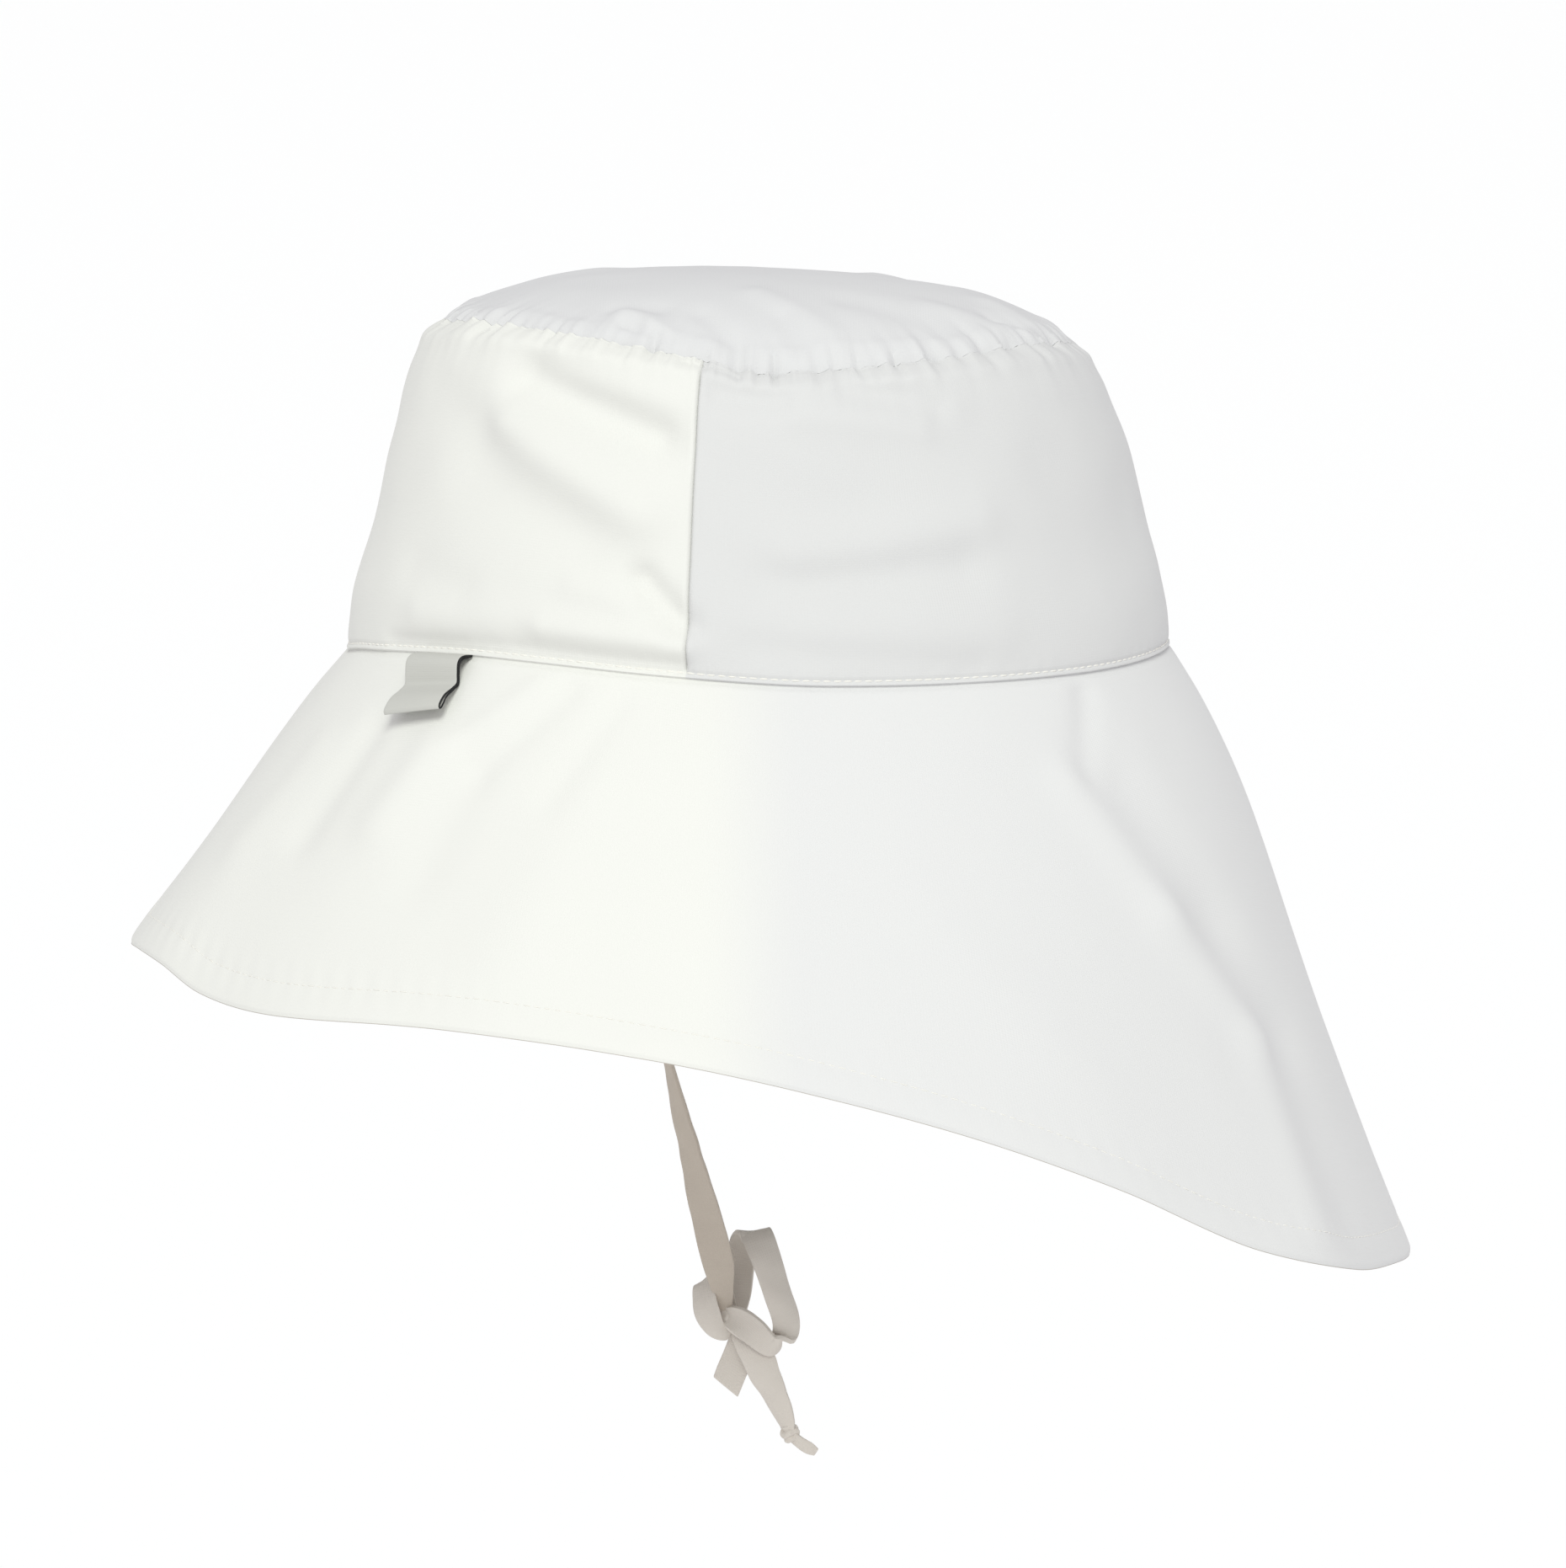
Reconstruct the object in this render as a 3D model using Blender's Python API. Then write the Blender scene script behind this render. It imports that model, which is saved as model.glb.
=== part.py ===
"""A baby's flap sun hat: a crown of two side panels and a domed tip, a wide brim that runs down
into a neck flap, a folded side tag, and two chin ties knotted in a bow.

Metres, +Z up. The front of the hat is towards -Y and the wearer's left towards +X. The origin is
the middle of the head opening, in the plane of the seam between crown and brim. Turns are degrees
round the hat: 0 at the front, 90 at the wearer's left, 180 at the back, 270 at the right.
"""

import math
from collections import namedtuple

import bmesh
import bpy
from mathutils import Vector

# Head opening, along the seam between crown and brim
OPENING_LENGTH = 0.1626
OPENING_WIDTH = 0.140
FRONT_SEAM_LIFT = 0.004

# Crown
TIP_LENGTH = 0.124
TIP_WIDTH = 0.108
CROWN_HEIGHT_FRONT = 0.0655
CROWN_HEIGHT_BACK = 0.0610
CROWN_SIDE_SAG = 0.0042
DOME_HEIGHT = 0.0115
DOME_FULLNESS_FRONT = 3.0
DOME_FULLNESS_BACK = 3.8
SIDE_SEAM_TURN = 80.5
CROWN_DENT_DEPTH = 0.002

# Brim and neck flap: how far the hem stands out from the seam, and how far it falls below it
BRIM_FRONT_REACH = 0.0440
BRIM_SIDE_REACH = 0.0380
FLAP_REACH = 0.0497
BRIM_FRONT_FALL = 0.058
FLAP_FALL = 0.121
BRIM_FRONT_BULGE = 0.0007
FLAP_BULGE = 0.0033
BRIM_FOLD_HEIGHT = 0.0022

# Cloth
WALL = 0.0012
SEAM_GAP = 0.0003

# Side tag, a label folded double
TAG_TURN = 43.0
TAG_WIDTH = 0.0150
TAG_LENGTH = 0.0122
TAG_THICKNESS = 0.0010
TAG_STAND_OFF = 0.0014
TAG_SWING = 3.0

# Chin ties
TIE_WIDTH = 0.0066
TIE_THICKNESS = 0.0010
TIE_SEAM_TURN = 64.0
TIE_SEWN_LENGTH = 0.007
KNOT_FORWARD = 0.0056
KNOT_BELOW = 0.1359
KNOT_RADIUS = 0.0030
KNOT_SEAT_RUN = 0.0015
RIGHT_TIE_SWAY = 0.0032
LOOP_HEIGHT = 0.0173
SMALL_LOOP_REACH = 0.0062
SHORT_END_LENGTH = 0.0145
LONG_END_LENGTH = 0.0300

# Columns of faces round each crown panel; the brim and the tip share them
FRONT_COLUMNS = 42
BACK_COLUMNS = 54

# Rings of faces: shares of the tip's radius, of the crown's height from its top, and of the brim
TIP_RINGS = (0.22, 0.46, 0.70, 0.88, 1.0)
CROWN_RINGS = (0.95, 0.87, 0.76, 0.62, 0.46, 0.30, 0.14, 0.0)
BRIM_RINGS = (0.07, 0.16, 0.26, 0.37, 0.49, 0.61, 0.73, 0.85, 0.94, 1.0)

# Tip seam: how much of the side sag, and base seam: how much of the front lift, at each turn
Sag = namedtuple("Sag", "turn share")
TIP_SEAM_SAG = (
    Sag(0, 0.0),
    Sag(30, -0.45),
    Sag(50, -0.35),
    Sag(67, 0.0),
    Sag(80, 0.5),
    Sag(92, 1.0),
    Sag(106, 0.7),
    Sag(121, 0.3),
    Sag(140, -0.2),
    Sag(160, -0.3),
    Sag(180, 0.0),
)
Lift = namedtuple("Lift", "turn share")
BASE_SEAM_LIFT = (
    Lift(0, 0.0),
    Lift(20, 0.55),
    Lift(45, 1.0),
    Lift(60, 0.9),
    Lift(80, 0.45),
    Lift(100, 0.05),
    Lift(140, 0.0),
    Lift(180, 0.25),
)

# Crown side: how far in from the base seam, as a share of the way to the tip seam
Lean = namedtuple("Lean", "height front back")
CROWN_LEAN = (
    Lean(0.0, 0.0, 0.0),
    Lean(0.10, 0.03, 0.01),
    Lean(0.20, 0.08, 0.07),
    Lean(0.40, 0.29, 0.235),
    Lean(0.60, 0.44, 0.375),
    Lean(0.70, 0.53, 0.47),
    Lean(0.80, 0.60, 0.60),
    Lean(0.88, 0.69, 0.71),
    Lean(0.95, 0.83, 0.87),
    Lean(1.0, 1.0, 1.0),
)

# Hem: how much of the way from the front's fall to the flap's fall, at each turn
Fall = namedtuple("Fall", "turn share")
HEM_FALL = (
    Fall(0, 0.0),
    Fall(12, -0.03),
    Fall(20, -0.02),
    Fall(28, 0.035),
    Fall(38, 0.055),
    Fall(60, 0.035),
    Fall(80, 0.10),
    Fall(95, 0.20),
    Fall(110, 0.34),
    Fall(125, 0.53),
    Fall(140, 0.76),
    Fall(155, 0.90),
    Fall(168, 0.965),
    Fall(180, 1.0),
)

# Dents of the crown: middle and size as turns and shares of the height, and shares of the depth.
# A positive depth is a bulge. Tilt is degrees that its long side drops towards the back.
Dent = namedtuple("Dent", "turn height half_turn half_height tilt depth")
CROWN_DENTS = (
    Dent(turn=63, height=0.76, half_turn=11, half_height=0.09, tilt=24, depth=-1.0),
    Dent(turn=62, height=0.57, half_turn=12, half_height=0.12, tilt=20, depth=0.7),
    Dent(turn=76, height=0.20, half_turn=6, half_height=0.10, tilt=10, depth=-0.7),
    Dent(turn=62, height=0.05, half_turn=18, half_height=0.06, tilt=0, depth=-0.5),
    Dent(turn=108, height=0.80, half_turn=9, half_height=0.07, tilt=0, depth=-0.6),
    Dent(turn=110, height=0.28, half_turn=16, half_height=0.12, tilt=-8, depth=-0.6),
    Dent(turn=150, height=0.55, half_turn=14, half_height=0.20, tilt=0, depth=-0.4),
    Dent(turn=300, height=0.70, half_turn=14, half_height=0.12, tilt=15, depth=-0.7),
    Dent(turn=250, height=0.35, half_turn=18, half_height=0.16, tilt=-8, depth=-0.6),
)

# Folds of the brim: the turn where each starts and where it meets the hem, its half width, and
# its height at the hem as a share of the named one. Start is the share of the brim where it rises.
Fold = namedtuple("Fold", "start_turn hem_turn half_turn start height")
BRIM_FOLDS = (
    Fold(start_turn=73, hem_turn=64, half_turn=9, start=0.15, height=0.5),
    Fold(start_turn=38, hem_turn=30, half_turn=10, start=0.10, height=-0.4),
    Fold(start_turn=139, hem_turn=148, half_turn=10, start=0.05, height=1.0),
    Fold(start_turn=168, hem_turn=165, half_turn=9, start=0.20, height=-0.6),
    Fold(start_turn=222, hem_turn=213, half_turn=11, start=0.05, height=1.0),
    Fold(start_turn=192, hem_turn=195, half_turn=9, start=0.20, height=-0.4),
    Fold(start_turn=290, hem_turn=297, half_turn=10, start=0.15, height=0.5),
    Fold(start_turn=325, hem_turn=332, half_turn=10, start=0.10, height=-0.4),
)

# Ties: how far each is turned from facing the wearer's left, in degrees, and its share of the
# width, from its seam at along 0 to the knot at along 1
Twist = namedtuple("Twist", "along left_face right_face width")
TIE_TWIST = (
    Twist(along=0.0, left_face=23, right_face=-23, width=1.0),
    Twist(along=0.12, left_face=23, right_face=-23, width=1.0),
    Twist(along=0.35, left_face=80, right_face=-80, width=0.9),
    Twist(along=0.62, left_face=84, right_face=-90, width=0.9),
    Twist(along=0.76, left_face=70, right_face=-90, width=0.95),
    Twist(along=0.85, left_face=38, right_face=-90, width=1.0),
    Twist(along=0.91, left_face=6, right_face=-90, width=0.95),
    Twist(along=0.96, left_face=0, right_face=-90, width=0.65),
    Twist(along=1.0, left_face=0, right_face=-90, width=0.40),
)

# Routes of the bow's bands, in shares of the size named for each: towards the back, up, and
# towards the wearer's left from the knot's middle. Face is how far the band's flat side is turned
# from facing the wearer's left, in degrees, and width is a share of the tie's. A row that starts
# or ends at the knot gives only the side of the knot where the band comes out.
Stop = namedtuple("Stop", "back up left face width")
LARGE_LOOP = (
    Stop(back=0.50, up=0.80, left=-0.35, face=20, width=0.40),
    Stop(back=0.17, up=0.55, left=-0.22, face=10, width=0.80),
    Stop(back=0.20, up=0.86, left=-0.20, face=5, width=0.85),
    Stop(back=0.32, up=1.00, left=-0.04, face=60, width=0.85),
    Stop(back=0.45, up=0.90, left=0.12, face=140, width=0.85),
    Stop(back=0.53, up=0.62, left=0.18, face=150, width=0.85),
    Stop(back=0.60, up=0.32, left=0.20, face=150, width=0.90),
    Stop(back=0.66, up=0.02, left=0.22, face=150, width=0.95),
    Stop(back=0.56, up=-0.22, left=0.28, face=165, width=0.85),
    Stop(back=0.36, up=-0.14, left=0.30, face=180, width=0.70),
    Stop(back=0.62, up=0.05, left=0.78, face=190, width=0.40),
)
SMALL_LOOP = (
    Stop(back=-0.85, up=0.50, left=-0.10, face=20, width=0.40),
    Stop(back=-0.80, up=0.78, left=-0.08, face=45, width=0.50),
    Stop(back=-0.86, up=1.10, left=0.00, face=90, width=0.55),
    Stop(back=-1.02, up=0.90, left=0.22, face=130, width=0.60),
    Stop(back=-1.00, up=0.35, left=0.48, face=150, width=0.65),
    Stop(back=-0.78, up=-0.15, left=0.55, face=165, width=0.55),
    Stop(back=-0.60, up=-0.42, left=0.60, face=180, width=0.40),
)
SHORT_END = (
    Stop(back=-0.20, up=-0.80, left=-0.50, face=10, width=0.40),
    Stop(back=0.06, up=-0.45, left=-0.20, face=10, width=0.80),
    Stop(back=0.04, up=-0.70, left=-0.24, face=0, width=0.95),
    Stop(back=-0.06, up=-1.00, left=-0.25, face=0, width=0.95),
)
LONG_END = (
    Stop(back=0.35, up=-0.80, left=0.40, face=-10, width=0.40),
    Stop(back=0.18, up=-0.25, left=0.09, face=-10, width=1.00),
    Stop(back=0.24, up=-0.38, left=0.10, face=-25, width=0.95),
    Stop(back=0.31, up=-0.52, left=0.09, face=-40, width=0.85),
    Stop(back=0.37, up=-0.66, left=0.07, face=-50, width=0.60),
    Stop(back=0.41, up=-0.76, left=0.06, face=-55, width=0.50),
    Stop(back=0.57, up=-0.90, left=0.05, face=-50, width=0.35),
)
END_KNOT_SHARE = 0.80
END_KNOT_RADIUS = 0.0021

# Steps of a band between two of its stops, and facets of the knots
BAND_STEPS = 3
KNOT_FACETS = 12
KNOT_RINGS = 8


def eased(rows, place, column, at):
    """A column's value between a table's rows, on a smooth curve through them, level at its ends."""
    places = [getattr(row, place) for row in rows]
    values = [getattr(row, column) for row in rows]
    at = min(max(at, places[0]), places[-1])
    i = max(k for k in range(len(rows) - 1) if places[k] <= at)

    def slope(k):
        if k in (0, len(rows) - 1):
            return 0.0
        return (values[k + 1] - values[k - 1]) / (places[k + 1] - places[k - 1])

    span = places[i + 1] - places[i]
    u = (at - places[i]) / span
    start = (1 + 2 * u) * (1 - u) ** 2 * values[i] + u * (1 - u) ** 2 * span * slope(i)
    end = u * u * (3 - 2 * u) * values[i + 1] - u * u * (1 - u) * span * slope(i + 1)
    return start + end


def mirrored(turn):
    """The turn on the wearer's left that matches a turn on either side."""
    turn %= 360
    return min(turn, 360 - turn)


def turn_between(turn, middle):
    """How far a turn is past another, from -180 to 180."""
    return (turn - middle + 180) % 360 - 180


def on_oval(length, width, turn):
    t = math.radians(turn)
    return Vector((width / 2 * math.sin(t), -length / 2 * math.cos(t), 0))


def outward(turn):
    """Level direction square to the head opening's oval."""
    t = math.radians(turn)
    return Vector((OPENING_LENGTH * math.sin(t), -OPENING_WIDTH * math.cos(t), 0)).normalized()


def tip_plane(y):
    """Height of the flat that joins the front and the back of the tip seam."""
    middle = (CROWN_HEIGHT_FRONT + CROWN_HEIGHT_BACK) / 2
    return middle - (CROWN_HEIGHT_FRONT - CROWN_HEIGHT_BACK) * y / TIP_LENGTH


def base_point(turn):
    point = on_oval(OPENING_LENGTH, OPENING_WIDTH, turn)
    point.z = FRONT_SEAM_LIFT * eased(BASE_SEAM_LIFT, "turn", "share", mirrored(turn))
    return point


def tip_point(turn, radius):
    """Point of the domed tip, from its middle at radius 0 to the tip seam at radius 1."""
    point = on_oval(TIP_LENGTH, TIP_WIDTH, turn) * radius
    sag = CROWN_SIDE_SAG * eased(TIP_SEAM_SAG, "turn", "share", mirrored(turn))
    back = mirrored(turn) / 180
    fullness = DOME_FULLNESS_FRONT + (DOME_FULLNESS_BACK - DOME_FULLNESS_FRONT) * back
    dome = DOME_HEIGHT * (1 - radius**fullness)
    point.z = tip_plane(point.y) + dome - sag * radius**4
    return point


def bump(across, along, half_across, half_along, tilt):
    """A smooth mound of height 1, falling to nothing about two half sizes from its middle."""
    t = math.radians(tilt)
    u, v = across / half_across, along / half_along
    u, v = u * math.cos(t) - v * math.sin(t), u * math.sin(t) + v * math.cos(t)
    return math.exp(-(u * u + v * v))


def crown_point(turn, height):
    """Point of the crown's side, from the base seam at height 0 to the tip seam at height 1."""
    low, high = base_point(turn), tip_point(turn, 1)
    back = mirrored(turn) / 180
    inward = eased(CROWN_LEAN, "height", "front", height) * (1 - back)
    inward += eased(CROWN_LEAN, "height", "back", height) * back
    point = low.lerp(high, inward)
    point.z = low.z + (high.z - low.z) * height
    edge = min(1, 8 * height, 8 * (1 - height))
    for d in CROWN_DENTS:
        mound = bump(
            turn_between(turn, d.turn), height - d.height, d.half_turn, d.half_height, d.tilt
        )
        point += outward(turn) * CROWN_DENT_DEPTH * d.depth * mound * edge
    return point


def hem_point(turn):
    side = math.sin(math.radians(turn)) ** 2
    end_reach = BRIM_FRONT_REACH if mirrored(turn) < 90 else FLAP_REACH
    reach = end_reach + (BRIM_SIDE_REACH - end_reach) * side
    point = base_point(turn) + outward(turn) * reach
    fall = eased(HEM_FALL, "turn", "share", mirrored(turn))
    point.z = -(BRIM_FRONT_FALL + (FLAP_FALL - BRIM_FRONT_FALL) * fall)
    return point


def brim_point(turn, slant):
    """Point of the brim, from the base seam at slant 0 to the hem at slant 1."""
    point = base_point(turn).lerp(hem_point(turn), slant)
    back = mirrored(turn) / 180
    bulge = BRIM_FRONT_BULGE + (FLAP_BULGE - BRIM_FRONT_BULGE) * back
    shift = bulge * 9.48 * slant * (1 - slant) ** 3
    for f in BRIM_FOLDS:
        middle = f.start_turn + (f.hem_turn - f.start_turn) * slant
        rise = max(0, (slant - f.start) / (1 - f.start))
        away = turn_between(turn, middle) / f.half_turn
        shift += BRIM_FOLD_HEIGHT * f.height * rise * math.exp(-away * away)
    return point + outward(turn) * shift


def columns():
    """Turns of the columns, with the two side seams on the first and on the FRONT_COLUMNS one."""
    front = 2 * SIDE_SEAM_TURN / FRONT_COLUMNS
    back = (360 - 2 * SIDE_SEAM_TURN) / BACK_COLUMNS
    turns = [-SIDE_SEAM_TURN + front * i for i in range(FRONT_COLUMNS)]
    return turns + [SIDE_SEAM_TURN + back * i for i in range(BACK_COLUMNS)]


def skin():
    """The whole cloth from the tip's middle to the hem: its outer rings and its inner rings."""
    turns = columns()
    outer = [[tip_point(t, r) for t in turns] for r in TIP_RINGS]
    outer += [[crown_point(t, h) for t in turns] for h in CROWN_RINGS]
    outer += [[brim_point(t, s) for t in turns] for s in BRIM_RINGS]
    count, inner = len(turns), []
    for i, ring in enumerate(outer):
        above = outer[i - 1] if i else [tip_point(0, 0)] * count
        below = outer[min(i + 1, len(outer) - 1)]
        normals = [
            (ring[(k + 1) % count] - ring[k - 1]).cross(above[k] - below[k]).normalized()
            for k in range(count)
        ]
        inner.append([p - n * WALL for p, n in zip(ring, normals)])
    return outer, inner


def pulled(ring, inner_ring, towards):
    """Both edges of a cloth's rim, drawn back by half a seam gap."""
    steps = [(q - p).normalized() * SEAM_GAP / 2 for p, q in zip(ring, towards)]
    return [p + s for p, s in zip(ring, steps)], [p + s for p, s in zip(inner_ring, steps)]


def cloth_part(outer, inner, first_seam, last_seam):
    """Copies of rings with the ends that meet a seam drawn back from it."""
    outer, inner = [list(r) for r in outer], [list(r) for r in inner]
    if first_seam:
        outer[0], inner[0] = pulled(outer[0], inner[0], outer[1])
    if last_seam:
        outer[-1], inner[-1] = pulled(outer[-1], inner[-1], outer[-2])
    return outer, inner


def make_material(name, color, roughness):
    material = bpy.data.materials.new(name)
    material.use_nodes = True
    shader = material.node_tree.nodes["Principled BSDF"]
    shader.inputs["Base Color"].default_value = (*color, 1)
    shader.inputs["Roughness"].default_value = roughness
    shader.inputs["Metallic"].default_value = 0
    return material


def make_object(name, bm, material):
    """An object from a bmesh whose faces close one body, turned outwards and shaded smooth."""
    bmesh.ops.recalc_face_normals(bm, faces=bm.faces)
    mesh = bpy.data.meshes.new(name)
    bm.to_mesh(mesh)
    bm.free()
    mesh.materials.append(material)
    mesh.shade_smooth()
    mesh.set_sharp_from_angle(angle=math.radians(50))
    obj = bpy.data.objects.new(name, mesh)
    bpy.context.collection.objects.link(obj)
    return obj


def sheet_bmesh(outer, inner, is_ring):
    """A thick sheet from rows of outer and inner points, closed round its rims."""
    bm = bmesh.new()
    out = [[bm.verts.new(p) for p in row] for row in outer]
    inn = [[bm.verts.new(p) for p in row] for row in inner]
    rows, count = len(out), len(out[0])
    for k in range(count if is_ring else count - 1):
        n = (k + 1) % count
        for i in range(rows - 1):
            bm.faces.new((out[i][k], out[i + 1][k], out[i + 1][n], out[i][n]))
            bm.faces.new((inn[i][k], inn[i][n], inn[i + 1][n], inn[i + 1][k]))
        bm.faces.new((out[-1][k], inn[-1][k], inn[-1][n], out[-1][n]))
        bm.faces.new((out[0][k], out[0][n], inn[0][n], inn[0][k]))
    if not is_ring:
        for k in (0, count - 1):
            for i in range(rows - 1):
                bm.faces.new((out[i][k], inn[i][k], inn[i + 1][k], out[i + 1][k]))
    return bm


def build_tip(outer, inner, material):
    """The domed tip: rings that close in a fan at its middle, both sides."""
    rows = len(TIP_RINGS)
    outer, inner = cloth_part(outer[:rows], inner[:rows], False, True)
    bm = bmesh.new()
    out = [[bm.verts.new(p) for p in row] for row in outer]
    inn = [[bm.verts.new(p) for p in row] for row in inner]
    middle = tip_point(0, 0)
    top = bm.verts.new(middle)
    bottom = bm.verts.new(middle - Vector((0, 0, WALL)))
    count = len(out[0])
    for k in range(count):
        n = (k + 1) % count
        bm.faces.new((top, out[0][k], out[0][n]))
        bm.faces.new((bottom, inn[0][n], inn[0][k]))
        for i in range(rows - 1):
            bm.faces.new((out[i][k], out[i + 1][k], out[i + 1][n], out[i][n]))
            bm.faces.new((inn[i][k], inn[i][n], inn[i + 1][n], inn[i + 1][k]))
        bm.faces.new((out[-1][k], inn[-1][k], inn[-1][n], out[-1][n]))
    return make_object("crown_tip", bm, material)


def build_crown_panel(name, outer, inner, first, last, material):
    """A side panel between two columns, drawn back by half a gap at its side seams too."""
    top = len(TIP_RINGS) - 1
    bottom = top + len(CROWN_RINGS) + 1
    outer, inner = cloth_part(outer[top:bottom], inner[top:bottom], True, True)
    count = len(outer[0])
    picked = [k % count for k in range(first, last + 1)]
    outer = [[row[k] for k in picked] for row in outer]
    inner = [[row[k] for k in picked] for row in inner]
    for row, inner_row in zip(outer, inner):
        starts = (row[1] - row[0]).normalized() * SEAM_GAP / 2
        ends = (row[-2] - row[-1]).normalized() * SEAM_GAP / 2
        row[0], inner_row[0] = row[0] + starts, inner_row[0] + starts
        row[-1], inner_row[-1] = row[-1] + ends, inner_row[-1] + ends
    return make_object(name, sheet_bmesh(outer, inner, False), material)


def build_brim(outer, inner, material):
    top = len(TIP_RINGS) + len(CROWN_RINGS) - 1
    outer, inner = cloth_part(outer[top:], inner[top:], True, False)
    return make_object("brim_neck_flap", sheet_bmesh(outer, inner, True), material)


def build_tag(material):
    """The folded label, hung from the base seam and standing a little off the brim at its fold."""
    columns_across, rows_down = 6, 4
    half_turn = math.degrees(TAG_WIDTH / (OPENING_LENGTH + OPENING_WIDTH) * 2)
    slant_length = (hem_point(TAG_TURN) - base_point(TAG_TURN)).length
    outer, inner = [], []
    for i in range(rows_down + 1):
        down = i / rows_down
        slant = (SEAM_GAP * 3 + TAG_LENGTH * down) / slant_length
        outer_row, inner_row = [], []
        for k in range(columns_across + 1):
            turn = TAG_TURN + TAG_SWING * down + half_turn * (2 * k / columns_across - 1)
            point = brim_point(turn, slant)
            across = brim_point(turn + 1, slant) - brim_point(turn - 1, slant)
            along = brim_point(turn, slant + 0.01) - brim_point(turn, slant - 0.01)
            normal = along.cross(across).normalized()
            if normal.dot(outward(turn)) < 0:
                normal.negate()
            clear = SEAM_GAP + TAG_STAND_OFF * down
            inner_row.append(point + normal * clear)
            outer_row.append(point + normal * (clear + TAG_THICKNESS))
        outer.append(outer_row)
        inner.append(inner_row)
    return make_object("side_tag", sheet_bmesh(outer, inner, False), material)


def distances(rows):
    """How far along its curve each row lies. A row's first three numbers are its place."""
    places = [Vector(row[:3]) for row in rows]
    result = [0.0]
    for a, b in zip(places, places[1:]):
        result.append(result[-1] + (b - a).length)
    return result


def curve_through(rows, steps):
    """Rows on a smooth curve through the given ones, the ends included."""
    at, last = distances(rows), len(rows) - 1

    def slope(k):
        a, b = max(k - 1, 0), min(k + 1, last)
        return (rows[b] - rows[a]) / (at[b] - at[a])

    result = []
    for i in range(last):
        span, leave, arrive = at[i + 1] - at[i], slope(i), slope(i + 1)
        for k in range(steps):
            u = k / steps
            start = rows[i] * ((1 + 2 * u) * (1 - u) ** 2) + leave * (span * u * (1 - u) ** 2)
            end = rows[i + 1] * (u * u * (3 - 2 * u)) - arrive * (span * u * u * (1 - u))
            result.append(start + end)
    return result + [rows[-1]]


def band_bmesh(route):
    """A flat cloth band. Each stop of the route is (middle, flat side's direction, width, thickness)."""
    bm = bmesh.new()
    rings = []
    for i, (middle, face, width, thickness) in enumerate(route):
        along = route[min(i + 1, len(route) - 1)][0] - route[max(i - 1, 0)][0]
        across = along.cross(face).normalized() * width / 2
        through = across.cross(along).normalized() * thickness / 2
        corners = (across + through, -across + through, -across - through, across - through)
        rings.append([bm.verts.new(middle + c) for c in corners])
    for a, b in zip(rings, rings[1:]):
        for k in range(4):
            bm.faces.new((a[k], a[(k + 1) % 4], b[(k + 1) % 4], b[k]))
    bm.faces.new(rings[0])
    bm.faces.new(rings[-1][::-1])
    return bm


def knot_middle():
    return Vector((0, -KNOT_FORWARD, -KNOT_BELOW))


def side_of_knot(stop):
    return Vector((stop.left, stop.back, stop.up))


def knot_seat(direction):
    """Where a band leaves the knot, clear of its surface, and a point straight out from there."""
    direction = direction.normalized()
    start = knot_middle() + direction * (KNOT_RADIUS + SEAM_GAP)
    return [start, start + direction * KNOT_SEAT_RUN]


def turned_face(along, degrees):
    """A band's flat side, turned about the band from facing the wearer's left."""
    left = Vector((1, 0, 0))
    flat = (left - along * left.dot(along)).normalized()
    turned = math.radians(degrees)
    return flat * math.cos(turned) + along.cross(flat) * math.sin(turned)


def stop_route(stops, size, is_loop):
    """A band's route from its table: out of the knot, and back into it if it is a loop."""
    first, last = stops[0], stops[-1]
    rows = [(*p, first.face, first.width) for p in knot_seat(side_of_knot(first))]
    for s in stops[1:-1] if is_loop else stops[1:]:
        rows.append((*(knot_middle() + side_of_knot(s) * size), s.face, s.width))
    if is_loop:
        rows += [(*p, last.face, last.width) for p in knot_seat(side_of_knot(last))[::-1]]
    rows = curve_through([Vector(r) for r in rows], BAND_STEPS)
    middles = [Vector(r[:3]) for r in rows]
    route = []
    for i, (middle, row) in enumerate(zip(middles, rows)):
        along = middles[min(i + 1, len(middles) - 1)] - middles[max(i - 1, 0)]
        face = turned_face(along.normalized(), row[3])
        route.append((middle, face, row[4] * TIE_WIDTH, TIE_THICKNESS))
    return route


def build_tie(name, is_left, material):
    """A chin tie from its seam inside the crown down to the knot."""
    turn = TIE_SEAM_TURN if is_left else 360 - TIE_SEAM_TURN
    inside = -outward(turn) * (WALL + SEAM_GAP + TIE_THICKNESS / 2)
    height = TIE_SEWN_LENGTH / (CROWN_HEIGHT_FRONT + CROWN_HEIGHT_BACK) * 2
    sewn_top = crown_point(turn, height) + inside
    seam = base_point(turn) + inside * 1.15
    end, above_end = knot_seat(seam - knot_middle())
    sway = Vector((0, 0 if is_left else -RIGHT_TIE_SWAY, 0))
    stops = [sewn_top, seam]
    for along in (0.1, 0.3, 0.5, 0.7, 0.86):
        stops.append(seam.lerp(end, along) + sway * math.sin(math.pi * along))
    middles = curve_through(stops + [above_end, end], BAND_STEPS)
    column = "left_face" if is_left else "right_face"
    at, route = distances(middles), []
    for i, middle in enumerate(middles):
        along = middles[min(i + 1, len(middles) - 1)] - middles[max(i - 1, 0)]
        share = at[i] / at[-1]
        face = turned_face(along.normalized(), eased(TIE_TWIST, "along", column, share))
        width = TIE_WIDTH * eased(TIE_TWIST, "along", "width", share)
        route.append((middle, face, width, TIE_THICKNESS))
    return make_object(name, band_bmesh(route), material)


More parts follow.
